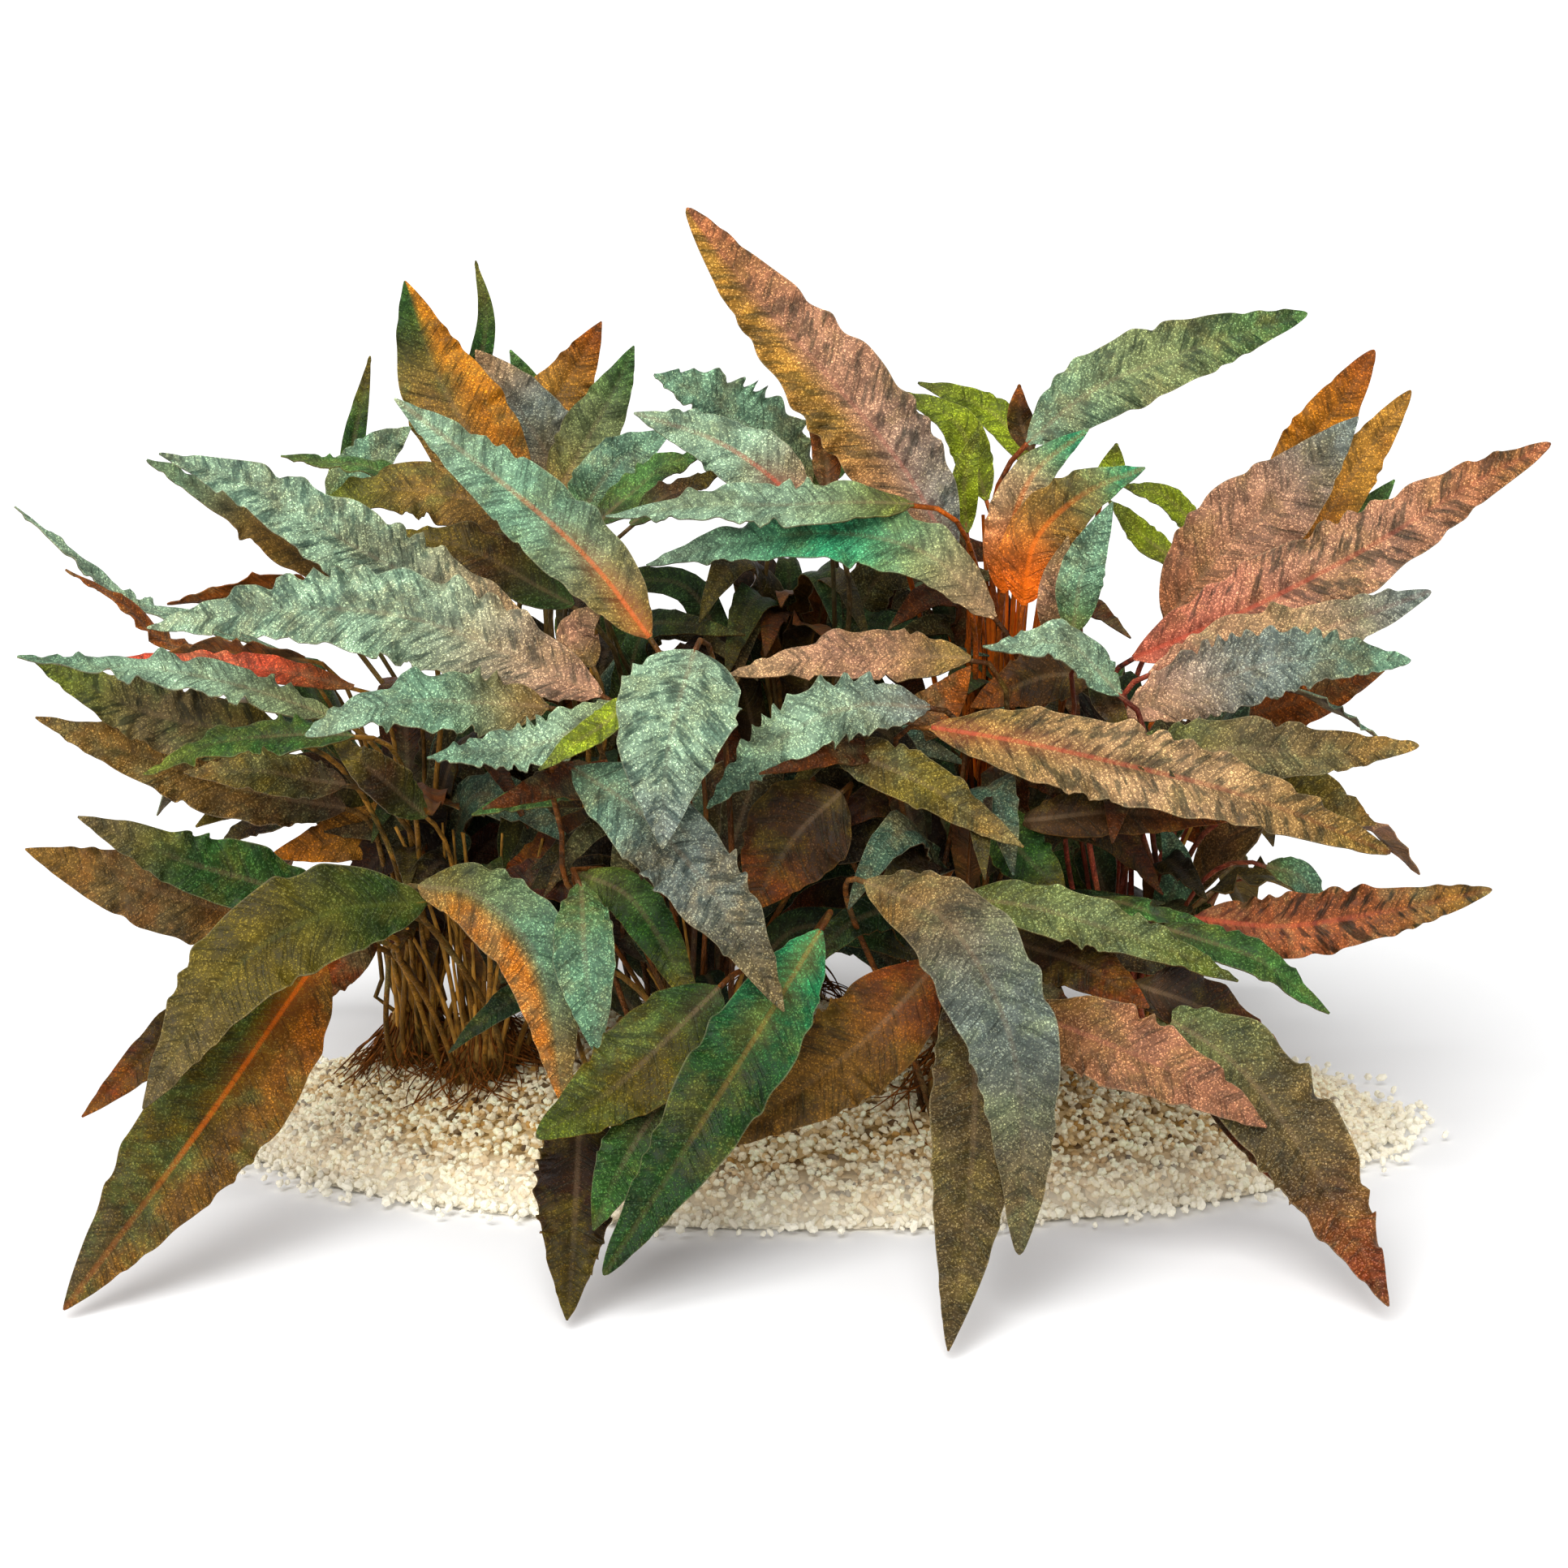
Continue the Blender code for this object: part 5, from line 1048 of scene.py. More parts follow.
def paint(leaf, mesh, flat, wide, blade_points, seed):
    """Keeps a leaf's colours and places on its mesh, for the material to read."""
    x, t, z = flat.T
    names = GRADIENTS.get(leaf.name, TINT_GRADIENTS[leaf.tint])
    # Inner leaves are darkened by INNER_SHADE, which is painted shade.
    tone = gradient(names, t) * (INNER_SHADE if leaf in inner else 1.0)
    if leaf.name in SIDE_COLOURS:
        near, far, side = SIDE_COLOURS[leaf.name]
        share = np.clip(x * side * 2.2, 0, 1)[:, None]
        tone = tone * (1 - share) + gradient(f"{near} {far} {far}", t) * share
    beneath = 0.45 * tone + 0.55 * linear("rust") * np.array([1.0, 0.9, 0.7])
    # Painted shade: leaves that hang lower than LIT_HEIGHT get darker, deeper colours, standing for the light
    # that the leaves above keep from them.
    low = np.clip((LIT_HEIGHT - leaf.blade[:, 2].mean()) / LIT_HEIGHT, 0, 1)
    tone = TOP_BRIGHTNESS * tone ** (1.1 + LOW_LEAF_PAINTED_SHADE * low)
    under = ((z < -0.5) & (np.arange(len(x)) < blade_points))[:, None]
    tone = np.where(under, beneath, tone)
    stem = linear(STALK_COLOURS[leaf.crown]) * (0.4 + 0.9 * ((seed * 7.3) % 1.0))
    foot = stem * 0.45 + linear("umber") * 0.35
    high = np.clip(1 + t, 0, 1)[:, None] ** 0.7
    stalk = foot * (1 - high) + stem * high * (1 - 0.4 * high)
    into_blade = np.clip(t / 0.25, 0, 1)[:, None]
    stalk = stalk * (1 - into_blade) + (0.6 * stem + 0.4 * beneath) * into_blade
    on_stalk = (np.arange(len(x)) >= blade_points)[:, None]
    tone = np.where(on_stalk, stalk, tone)
    stripes = STRIPED.get(leaf.name, ORDINARY_STRIPES)
    rib_name, rib_strength = RIBS.get(leaf.name, ORDINARY_RIB)
    rib = linear(rib_name)
    length = leaf.blade_length()
    place = np.column_stack([x, t, np.where(on_stalk[:, 0], 0.0, z * 2 + 1)])
    run = np.column_stack([x * wide, t * length, np.full(len(x), seed * 40)])
    for name, kind, field, values in (
            ("tone", "FLOAT_COLOR", "color", np.column_stack([tone, np.full(len(x), stripes)])),
            ("rib", "FLOAT_COLOR", "color", np.tile([*rib, rib_strength], (len(x), 1))),
            ("place", "FLOAT_VECTOR", "vector", place), ("run", "FLOAT_VECTOR", "vector", run)):
        kept = mesh.attributes.new(name, kind, "POINT")
        kept.data.foreach_set(field, values.astype(np.float32).ravel())


print(len(RIBS), "leaves with a midrib of their own colour")

# %% [markdown]
# Close up, a leaf of this plant isn't smooth.  Its skin is a dense speckle of pale and
# dark cells half a millimetre across, with darker bars slanting off the midrib, fine
# side veins and a pale rim.  A picture of a leaf would be one way.  Here it is all
# nodes, which stay sharp at any size.  The speckle, bars and veins are read from the
# run, the millimetres across and along each leaf, and the broad patches from Object
# coordinates.

# %% Nodes in few words
class Recipe:
    """A material's nodes, each made by one short call."""

    def __init__(self, name):
        self.material = bpy.data.materials.new(name)
        self.material.use_nodes = True
        self.tree = self.material.node_tree
        self.tree.nodes.clear()

    def node(self, kind, **settings):
        made = self.tree.nodes.new("ShaderNode" + kind)
        for key, value in settings.items():
            setattr(made, key, value)
        return made

    def feed(self, socket, value):
        if isinstance(value, bpy.types.NodeSocket):
            self.tree.links.new(value, socket)
        elif value is not None:
            socket.default_value = value

    def read(self, name, part="Vector"):
        return self.node("Attribute", attribute_name=name).outputs[part]

    def parts(self, vector):
        made = self.node("SeparateXYZ")
        self.feed(made.inputs[0], vector)
        return made.outputs[:]

    def fill(self, made, *values):
        for socket, value in zip(made.inputs, values):
            self.feed(socket, value)
        return made.outputs[0]

    def grey(self, value):
        return self.fill(self.node("CombineColor"), value, value, value)

    def math(self, operation, a, b=None, c=None):
        return self.fill(self.node("Math", operation=operation), a, b, c)

    def spread(self, value, low, high, to_low=0.0, to_high=1.0):
        return self.fill(self.node("MapRange"), value, low, high, to_low, to_high)

    def noise(self, scale, detail=2.0, at=None, rough=0.5, part="Fac"):
        made = self.node("TexNoise")
        self.feed(made.inputs["Vector"], at or self.node("TexCoord").outputs["Object"])
        made.inputs["Scale"].default_value = scale
        made.inputs["Detail"].default_value = detail
        made.inputs["Roughness"].default_value = rough
        return made.outputs[part]

    def mix(self, share, a, b, blend="MIX"):
        made = self.node("Mix", data_type="RGBA", blend_type=blend)
        self.feed(made.inputs["Factor"], share)
        self.feed(made.inputs["A"], a if isinstance(a, bpy.types.NodeSocket) else (*a, 1))
        self.feed(made.inputs["B"], b if isinstance(b, bpy.types.NodeSocket) else (*b, 1))
        return made.outputs["Result"]

    def finish(self, colour, roughness, height, depth, specular=0.14):
        """The surface itself, with its colour, its gloss and its relief in metres."""
        bump = self.node("Bump")
        bump.inputs["Distance"].default_value = depth
        self.feed(bump.inputs["Height"], height)
        skin = self.node("BsdfPrincipled")
        self.feed(skin.inputs["Base Color"], colour)
        self.feed(skin.inputs["Roughness"], roughness)
        skin.inputs["Specular IOR Level"].default_value = specular
        self.feed(skin.inputs["Normal"], bump.outputs[0])
        out = self.node("OutputMaterial")
        self.feed(out.inputs["Surface"], skin.outputs[0])
        return self.material


print(sum(callable(tool) for tool in vars(Recipe).values()), "short calls for nodes")

# %% [markdown]
# One recipe serves every leaf, because the colours ride on the meshes.  What differs
# from slot to slot is how strongly the pale dots show and which second colour comes
# through in patches.  The dots are Voronoi cells, each as bright as chance has it,
# because plain noise runs together into streaks and looks like felt.

# %% The leaf's skin
DOT_SPACING = 0.55
RIB_WIDTH = 0.9


def slanted(r, across, along, seed, length, reach):
    """Noise in strokes that slant off the midrib, this long along the leaf and this far across it."""
    off_rib = r.math("ABSOLUTE", across)
    u = r.math("MULTIPLY", r.math("MULTIPLY_ADD", off_rib, -0.75, along), 1 / length)
    v = r.math("MULTIPLY_ADD", across, 1 / reach, r.math("MULTIPLY", u, 0.2))
    return r.noise(1.0, 2.0, r.fill(r.node("CombineXYZ"), u, v, seed), 0.6)


def leaf_skin(name, dot_share, partner, pale, haze, roughness):
    """The dotted, barred and veined skin of the leaves in one slot, with a second colour in patches."""
    r = Recipe(name)
    x, t, side = r.parts(r.read("place"))
    across, along, seed = r.parts(r.read("run"))
    off_rib = r.math("ABSOLUTE", across)
    top = r.spread(side, 0.2, 0.8)
    patch = r.noise(150.0, 3.0)
    shade = r.grey(r.spread(patch, 0.34, 0.66, 0.4, 0.88))
    colour = r.mix(1.0, r.read("tone", "Color"), shade, "MULTIPLY")
    warm = r.spread(r.noise(85.0, 4.0, rough=0.65), 0.48, 0.64, 0.0, 0.35)
    colour = r.mix(warm, colour, r.mix(1.0, linear(partner), shade, "MULTIPLY"))
    bar = r.spread(slanted(r, across, along, seed, 2.6, 5.0), 0.50, 0.60)
    bar = r.math("MULTIPLY", bar, r.math("MULTIPLY", r.read("tone", "Alpha"), 0.9))
    colour = r.mix(bar, colour, r.mix(1.0, colour, (0.14, 0.22, 0.24), "MULTIPLY"))
    vein = r.spread(slanted(r, across, along, seed, 1.0, 12.0), 0.54, 0.66)
    colour = r.mix(r.math("MULTIPLY", vein, 0.35), colour, (0.015, 0.02, 0.012))
    cell = r.node("TexVoronoi", voronoi_dimensions="2D")
    cell.inputs["Scale"].default_value = 1 / DOT_SPACING
    strewn = r.fill(r.node("VectorMath", operation="MULTIPLY_ADD"),
                    r.noise(1500.0, part="Color"), (1.3, 1.3, 0), r.read("run"))
    r.feed(cell.inputs["Vector"], strewn)
    by_chance, tint, _ = r.parts(cell.outputs["Color"])
    dot = r.math("MULTIPLY", r.spread(cell.outputs["Distance"], 0.12, 0.50, 1.0, 0.0),
                 r.spread(by_chance, 0.15, 0.85, 0.05, 1.0))
    dot = r.math("MULTIPLY", r.math("MULTIPLY", dot, dot_share), r.spread(top, 0, 1, 0.35, 1.0))
    dot = r.math("MULTIPLY", dot, r.spread(bar, 0, 0.8, 1.0, 0.35))
    colour = r.mix(dot, colour, r.mix(haze, r.mix(1.0, colour, (5.4, 5.4, 5.0), "MULTIPLY"),
                                   r.mix(r.spread(tint, 0.3, 0.7), linear(pale), linear("pearl"))))
    on_rib = r.spread(off_rib, RIB_WIDTH * 0.35, RIB_WIDTH, 0.85, 0.0)
    flush = r.math("MULTIPLY", r.spread(off_rib, 0.0, 4.5, 0.4, 0.0), r.spread(t, 0.0, 0.5, 1.0, 0.0))
    on_rib = r.math("MAXIMUM", r.math("MULTIPLY", on_rib, r.spread(t, 0.1, 0.7, 1.0, 0.12)), flush)
    strength = r.math("MULTIPLY", r.read("rib", "Alpha"), r.math("GREATER_THAN", t, 0.002))
    on_rib = r.math("MULTIPLY", on_rib, strength)
    colour = r.mix(on_rib, colour, r.read("rib", "Color"))
    rim = r.math("MULTIPLY", r.spread(r.math("ABSOLUTE", x), 0.96, 1.0), r.math("MULTIPLY", top, 0.12))
    colour = r.mix(rim, colour, linear(pale))
    height = r.math("MULTIPLY_ADD", dot, 1.2, r.math("MULTIPLY", vein, -1.0))
    height = r.math("MULTIPLY_ADD", patch, 2.2, height)
    gloss = r.spread(patch, 0.3, 0.7, roughness - 0.07, roughness + 0.09)
    return r.finish(colour, gloss, height, 0.0002)


SKINS = {
    "leaf_pale": leaf_skin("mint leaf skin", 1.0, "olive", "cream", 0.2, 0.50),
    "leaf_teal": leaf_skin("teal leaf skin", 1.0, "bronze", "cream", 0.17, 0.50),
    "leaf_green": leaf_skin("green leaf skin", 0.75, "olive", "cream", 0.08, 0.44),
    "leaf_olive": leaf_skin("olive leaf skin", 0.75, "fern", "straw", 0.08, 0.50),
    "leaf_bronze": leaf_skin("bronze leaf skin", 0.95, "sage", "cream", 0.11, 0.52),
    "leaf_brown": leaf_skin("brown leaf skin", 0.6, "olive", "straw", 0.06, 0.52),
    "leaf_rust": leaf_skin("rust leaf skin", 0.7, "sage", "straw", 0.08, 0.50),
    "leaf_gold": leaf_skin("amber leaf skin", 0.7, "rust", "straw", 0.08, 0.48),
    "leaf_pink": leaf_skin("pink leaf skin", 0.95, "olive", "cream", 0.13, 0.52),
}
print(len(SKINS), "leaf skins")

# %% [markdown]
# Now the 51 large leaves.  Each takes its own copy of the flat leaf, bends it along its
# line and is painted.  The copy stands for the leaf's solid, which is hidden.

# %% The large leaves
SEED_STEP = 0.618


def points_of(mesh):
    """A mesh's points, one row each."""
    points = np.empty(len(mesh.vertices) * 3)
    mesh.vertices.foreach_get("co", points)
    return points.reshape(-1, 3)


def cut_leaf(leaf, number, flat, blade_points):
    """One leaf's own mesh, bent and painted."""
    mesh = flat.copy()
    points = points_of(mesh)
    seed = (number * SEED_STEP) % 1.0
    bent, wide = bend(leaf, points, blade_points, seed)
    mesh.vertices.foreach_set("co", (bent * MM).ravel())
    paint(leaf, mesh, points, wide, blade_points, seed)
    mesh.update()
    return mesh


def show(name, mesh, slot, skin, *nodes):
    """Puts a finished mesh in the scene, on its body, with its skin and in place of its solids; slot is not
    used.
    """
    piece = bpy.data.objects.new(name, mesh)
    bpy.context.scene.collection.objects.link(piece)
    mesh.materials.clear()
    mesh.materials.append(skin)
    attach(piece, "root")
    if nodes:
        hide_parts(*nodes)
    return piece


slots = {row["node"]: row["material_slot"] for row in frame["record"]["subparts"]}
large = [leaf for leaf in leaves if leaf.name]
for number, leaf in enumerate(large):
    mesh = cut_leaf(leaf, number, *LARGE_FLAT)
    show(leaf.name + "_blade", mesh, slots[leaf.name], SKINS[slots[leaf.name]], leaf.name)
print(len(large), "large leaves of", len(LARGE_FLAT[0].polygons), "faces")

# %% [markdown]
# Under the large leaves a clump is full of shorter ones, which is why its middle looks
# dark.  They are copies of a coarser flat leaf, joined crown by crown and skin by skin,
# because three hundred more objects would only be slow to handle.

# %% The small leaves
def join_meshes(meshes, name):
    """Several meshes as one, their attributes kept."""
    things = []
    for mesh in meshes:
        thing = bpy.data.objects.new(name, mesh)
        bpy.context.scene.collection.objects.link(thing)
        things.append(thing)
    only(*things)
    if len(things) > 1:
        bpy.ops.object.join()
    joined = taken(things[0])
    joined.name = name
    return joined


FIRST_SMALL_SEED = 60
small = [(leaf, SMALL_FLAT) for leaf in leaves if not leaf.name]
small += [(leaf, INNER_FLAT) for leaf in inner]
for crown in CROWNS:
    groups = {}
    for number, (leaf, flat) in enumerate(small):
        if leaf.crown == crown:
            slot = SLOT_OF_TINT.get(leaf.tint, "leaf_" + leaf.tint)
            groups.setdefault(slot, []).append(cut_leaf(leaf, number + FIRST_SMALL_SEED, *flat))
    for slot, meshes in groups.items():
        name = "small_" + crown + "_" + slot.removeprefix("leaf_")
        show(name, join_meshes(meshes, name), slot, SKINS[slot], "crown_" + crown)
    print("crown", crown, "has", sum(len(meshes) for meshes in groups.values()), "small leaves")

# %% [markdown]
# All the stalks of a crown spring from a short upright rootstock, brown and scarred
# where old leaves came off.  It could be a plain cylinder.  Here a disc is extruded
# upwards ring by ring, each drawn in or out, then rounded and streaked by its material.

# %% The rootstocks
def wood(name, light, dark, scale):
    """Fibrous brown tissue, streaked along its height."""
    r = Recipe(name)
    stretched = r.node("Mapping")
    stretched.inputs["Scale"].default_value = (1.0, 1.0, 0.22)
    r.feed(stretched.inputs["Vector"], r.node("TexCoord").outputs["Object"])
    streaks = r.noise(scale, 4.0, stretched.outputs[0], 0.65)
    patches = r.noise(scale * 0.22, 2.0)
    colour = r.mix(r.spread(streaks, 0.35, 0.65), linear(dark), linear(light))
    colour = r.mix(1.0, colour, r.grey(r.spread(patches, 0.3, 0.7, 0.55, 1.35)), "MULTIPLY")
    return r.finish(colour, r.spread(streaks, 0.3, 0.7, 0.85, 0.6), streaks, 0.0007)


ROOTSTOCK = wood("rootstock bark", "straw", "umber", 900.0)
RINGS = ((-5.0, 1.10), (0.0, 1.15), (3.5, 0.95), (6.0, 1.02), (9.0, 0.80), (11.5, 0.82),
         (CROWN_RISE, 0.62))
for crown, (x, y) in CROWNS.items():
    ground = float(mound_height(x, y))
    bpy.ops.object.select_all(action="DESELECT")
    bpy.ops.mesh.primitive_circle_add(vertices=20, radius=CROWN_RADIUS * RINGS[0][1], fill_type="NGON",
                                      location=(x, y, ground + RINGS[0][0]))
    stock = bpy.context.object
    bpy.ops.object.mode_set(mode="EDIT")
    for (low, width), (high, wider) in zip(RINGS, RINGS[1:]):
        bpy.ops.mesh.extrude_region_move(TRANSFORM_OT_translate={"value": (0, 0, high - low)})
        share = wider / width
        bpy.ops.transform.resize(value=(share, share, 1), center_override=(x, y, ground + high))
    outward()
    rounding = stock.modifiers.new("rounding", "SUBSURF")
    rounding.levels = rounding.render_levels = 2
    bpy.ops.object.modifier_apply(modifier=rounding.name)
    bpy.ops.transform.resize(value=(MM, MM, MM), center_override=(0, 0, 0))
    bpy.ops.object.transform_apply(location=True, rotation=True, scale=True)
    bpy.ops.object.shade_smooth()
    mesh = taken(stock)
    show("rootstock_" + crown, mesh, "crown", ROOTSTOCK, "crown_" + crown)
print(len(CROWNS), "rootstocks of", len(mesh.polygons), "faces")

# %% [markdown]
# Brown roots as thin as thread come out of the rootstocks, and most of all in front on
# the left there are old straw-coloured stalks that have lost their leaves.  A curve with
# a bevel could draw each one.  Two short tubes, made once and bent along many lines,
# give the same with under a hundred faces each.

# %% A tube and how it bends
def tube(sections, sides):
    """A tube laid flat along y from 0 to 1, one unit in radius."""
    bpy.ops.object.select_all(action="DESELECT")
    bpy.ops.mesh.primitive_circle_add(vertices=sides, radius=1.0, fill_type="NGON",
                                      rotation=(math.pi / 2, 0, 0))
    made = bpy.context.object
    bpy.ops.object.transform_apply(location=True, rotation=True)
    bpy.ops.object.mode_set(mode="EDIT")
    for _ in range(sections):
        bpy.ops.mesh.extrude_region_move(TRANSFORM_OT_translate={"value": (0, 1 / sections, 0)})
    outward()
    bpy.ops.object.shade_smooth()
    return taken(made)


def thread(shape, line, thickness, tip):
    """A copy of the tube bent along a line, from its full thickness to its tip's share of it."""
    mesh = shape.copy()
    x, t, z = points_of(mesh).T
    line = np.asarray(line, dtype=float)
    ahead = unit(np.gradient(line, axis=0))
    side = unit(np.cross(ahead, np.array([0.31, 0.22, 0.93])))
    steps = t * (len(line) - 1)
    centre, side, ahead = (read_line(v, steps) for v in (line, side, ahead))
    up = np.cross(side, ahead)
    radius = (thickness / 2 * (1 - t + t * tip))[:, None]
    bent = centre + side * x[:, None] * radius + up * z[:, None] * radius
    mesh.vertices.foreach_set("co", (bent * MM).ravel())
    mesh.update()
    return mesh


ROOT_TUBE = tube(9, 4)
STALK_TUBE = tube(12, 7)
ROOTS_PER_CROWN = 46
ROOT_THICKNESS, OLD_STALK_THICKNESS = (0.35, 0.8), (0.9, 1.7)
chance = np.random.default_rng(7)
OLD_STALK = wood("old stalk", "gold stalk", "bronze", 1300.0)
ROOT_SKIN = wood("root fibre", "rust", "umber", 1500.0)


print(len(ROOT_TUBE.polygons), "faces a root,", len(STALK_TUBE.polygons), "faces an old stalk")

# %% [markdown]
# A root leaves the crown low, wanders over the sand and dips into it.  The two crowns in
# front on the left show theirs in the photograph, so they get three times as many.

# %% The roots
def root_line(x, y):
    """A root that leaves the crown low, wanders out over the sand and dips into it."""
    way = chance.uniform(0, 2 * math.pi)
    reach = chance.uniform(6, 19)
    start = chance.uniform(0.5, 14)
    hump = chance.uniform(0.5, 4.5)
    turn = chance.uniform(-1.2, 1.2)
    line = []
    for s in np.linspace(0, 1, 10):
        out = CROWN_RADIUS * 0.8 + reach * s
        angle = way + turn * s * s
        px, py = x + out * math.cos(angle), y + out * math.sin(angle)
        ground = float(mound_height(px, py))
        line.append((px, py, ground + start * (1 - s) ** 2 + hump * math.sin(math.pi * s) - 1.5 * s * s))
    return line


for crown, (x, y) in CROWNS.items():
    count = ROOTS_PER_CROWN * (3 if crown in ("left", "left_front") else 1)
    threads = [thread(ROOT_TUBE, root_line(x, y), chance.uniform(*ROOT_THICKNESS), 0.4)
               for _ in range(count)]
    show("roots_" + crown, join_meshes(threads, "roots_" + crown), "crown", ROOT_SKIN, "crown_" + crown)
print(ROOTS_PER_CROWN, "roots a crown, and three times as many on two of them")

# %% [markdown]
# An old stalk stands nearly straight and leans outwards.  They are drawn by chance round
# the front of four crowns, because in the photograph they can't be told apart.

# %% The old stalks
OLD_STALKS = {"left_front": 16, "left": 12, "middle_front": 5, "right": 4}


def old_stalk_line(x, y):
    """An old stalk that stands up out of the crown and leans outwards."""
    way = chance.uniform(-2.9, -0.4)
    foot = CROWN_RADIUS * chance.uniform(0.3, 0.95)
    tall = chance.uniform(30, 66)
    lean = chance.uniform(4, 20)
    px, py = x + foot * math.cos(way), y + foot * math.sin(way)
    ground = float(mound_height(px, py))
    sway = chance.uniform(-3, 3)
    return [(px + math.cos(way) * lean * s * s + sway * math.sin(math.pi * s),
             py + math.sin(way) * lean * 0.5 * s * s, ground + 1.0 + tall * s)
            for s in np.linspace(0, 1, 9)]


for crown, count in OLD_STALKS.items():
    x, y = CROWNS[crown]
    threads = [thread(STALK_TUBE, old_stalk_line(x, y), chance.uniform(*OLD_STALK_THICKNESS), 0.6)
               for _ in range(count)]
    name = "old_stalks_" + crown
    show(name, join_meshes(threads, name), "crown", OLD_STALK, "crown_" + crown)
print(sum(OLD_STALKS.values()), "old stalks")

# %% [markdown]
# The youngest leaves in the middle right are still rolled up in their sheaths, and the
# sheaths glow orange.  They are thicker copies of the same tube, in a fan.

# %% The young sheaths
YOUNG_SHEATHS = 13
SHEATH_THICKNESS = (2.2, 3.4)
SHEATH_SKIN = wood("young sheath", "orange", "rust", 420.0)
x, y = CROWNS["young"]
threads = []
for n in range(YOUNG_SHEATHS):
    fan = -1 + 2 * n / (YOUNG_SHEATHS - 1)
    top = chance.uniform(134, 162) - 14 * abs(fan)
    ground = float(mound_height(x, y)) + 6
    line = [(x + 3.5 * fan - 6 * s + (9 * fan + 2) * s ** 2.2, y - 3 + chance.uniform(-0.4, 0.4) - 7 * s,
             ground + (top - ground) * s) for s in np.linspace(0, 1, 9)]
    threads.append(thread(STALK_TUBE, line, chance.uniform(*SHEATH_THICKNESS), 0.35))
show("young_sheaths", join_meshes(threads, "young_sheaths"), "crown", SHEATH_SKIN, "crown_young")
print(YOUNG_SHEATHS, "sheaths")

# %% [markdown]
# The sand is coarse and pale, cream and tan with a few dark grains.  A texture alone
# looks like paper when the view comes close.  So the heap is a finely rippled body, and
# thousands of real grains lie on its skin, each of 28 triangles.

# %% The body of the heap
RUN_OUT = 0.08
HEAP_SIDES = 120
HEAP_RINGS = 44
UNDER_GRAINS = 0.45
RIPPLE = 0.28


def soft_rim(inside):
    """1 on the heap and fading to 0 at its rim, from how far out a place lies."""
    return np.clip((1.0 - inside) / RUN_OUT, 0, 1) ** 0.7


bpy.ops.object.select_all(action="DESELECT")
bpy.ops.mesh.primitive_circle_add(vertices=HEAP_SIDES, radius=1.0, fill_type="NGON")
heap = bpy.context.object
bpy.ops.object.mode_set(mode="EDIT")
for _ in range(HEAP_RINGS):
    bpy.ops.mesh.inset(thickness=1 / (HEAP_RINGS + 1.5), use_even_offset=False)
bpy.ops.mesh.poke()
bpy.ops.object.mode_set(mode="OBJECT")
points = points_of(heap.data)
x = MOUND_CENTRE_X + points[:, 0] * MOUND_HALF_WIDTH
y = points[:, 1] * MOUND_HALF_DEPTH
wander = (np.sin(x / 2.9 + 1.3 * np.sin(y / 3.7)) * np.cos(y / 2.3 + 0.9 * np.sin(x / 4.1))
          + 0.6 * np.sin(x / 1.3 + y / 1.7))
inside = np.hypot(points[:, 0], points[:, 1])
run_out = soft_rim(inside)
points = np.column_stack([x, y, run_out * (mound_height(x, y) - UNDER_GRAINS + RIPPLE * wander)])
points[:, 2] = np.maximum(points[:, 2], 0.0)
heap.data.vertices.foreach_set("co", (points * MM).ravel())
bpy.ops.object.mode_set(mode="EDIT")
bpy.ops.mesh.select_all(action="DESELECT")
bpy.ops.mesh.select_mode(type="EDGE")
bpy.ops.mesh.select_non_manifold()
bpy.ops.mesh.edge_face_add()
outward()
bpy.ops.object.shade_smooth()
heap_mesh = taken(heap)
print("heap:", len(heap_mesh.polygons), "faces")

# %% [markdown]
# The sand is whitened towards the rim of the heap, painted light that fades the lit
# sand into the bright floor.  Two materials could be written apart.  One function makes both,
# for the packed body and for the loose grains, so that they whiten by the same rule.

# %% The sand's skin
PAINTED_LIGHT_FROM, PAINTED_LIGHT_TO = 0.8, 1.25


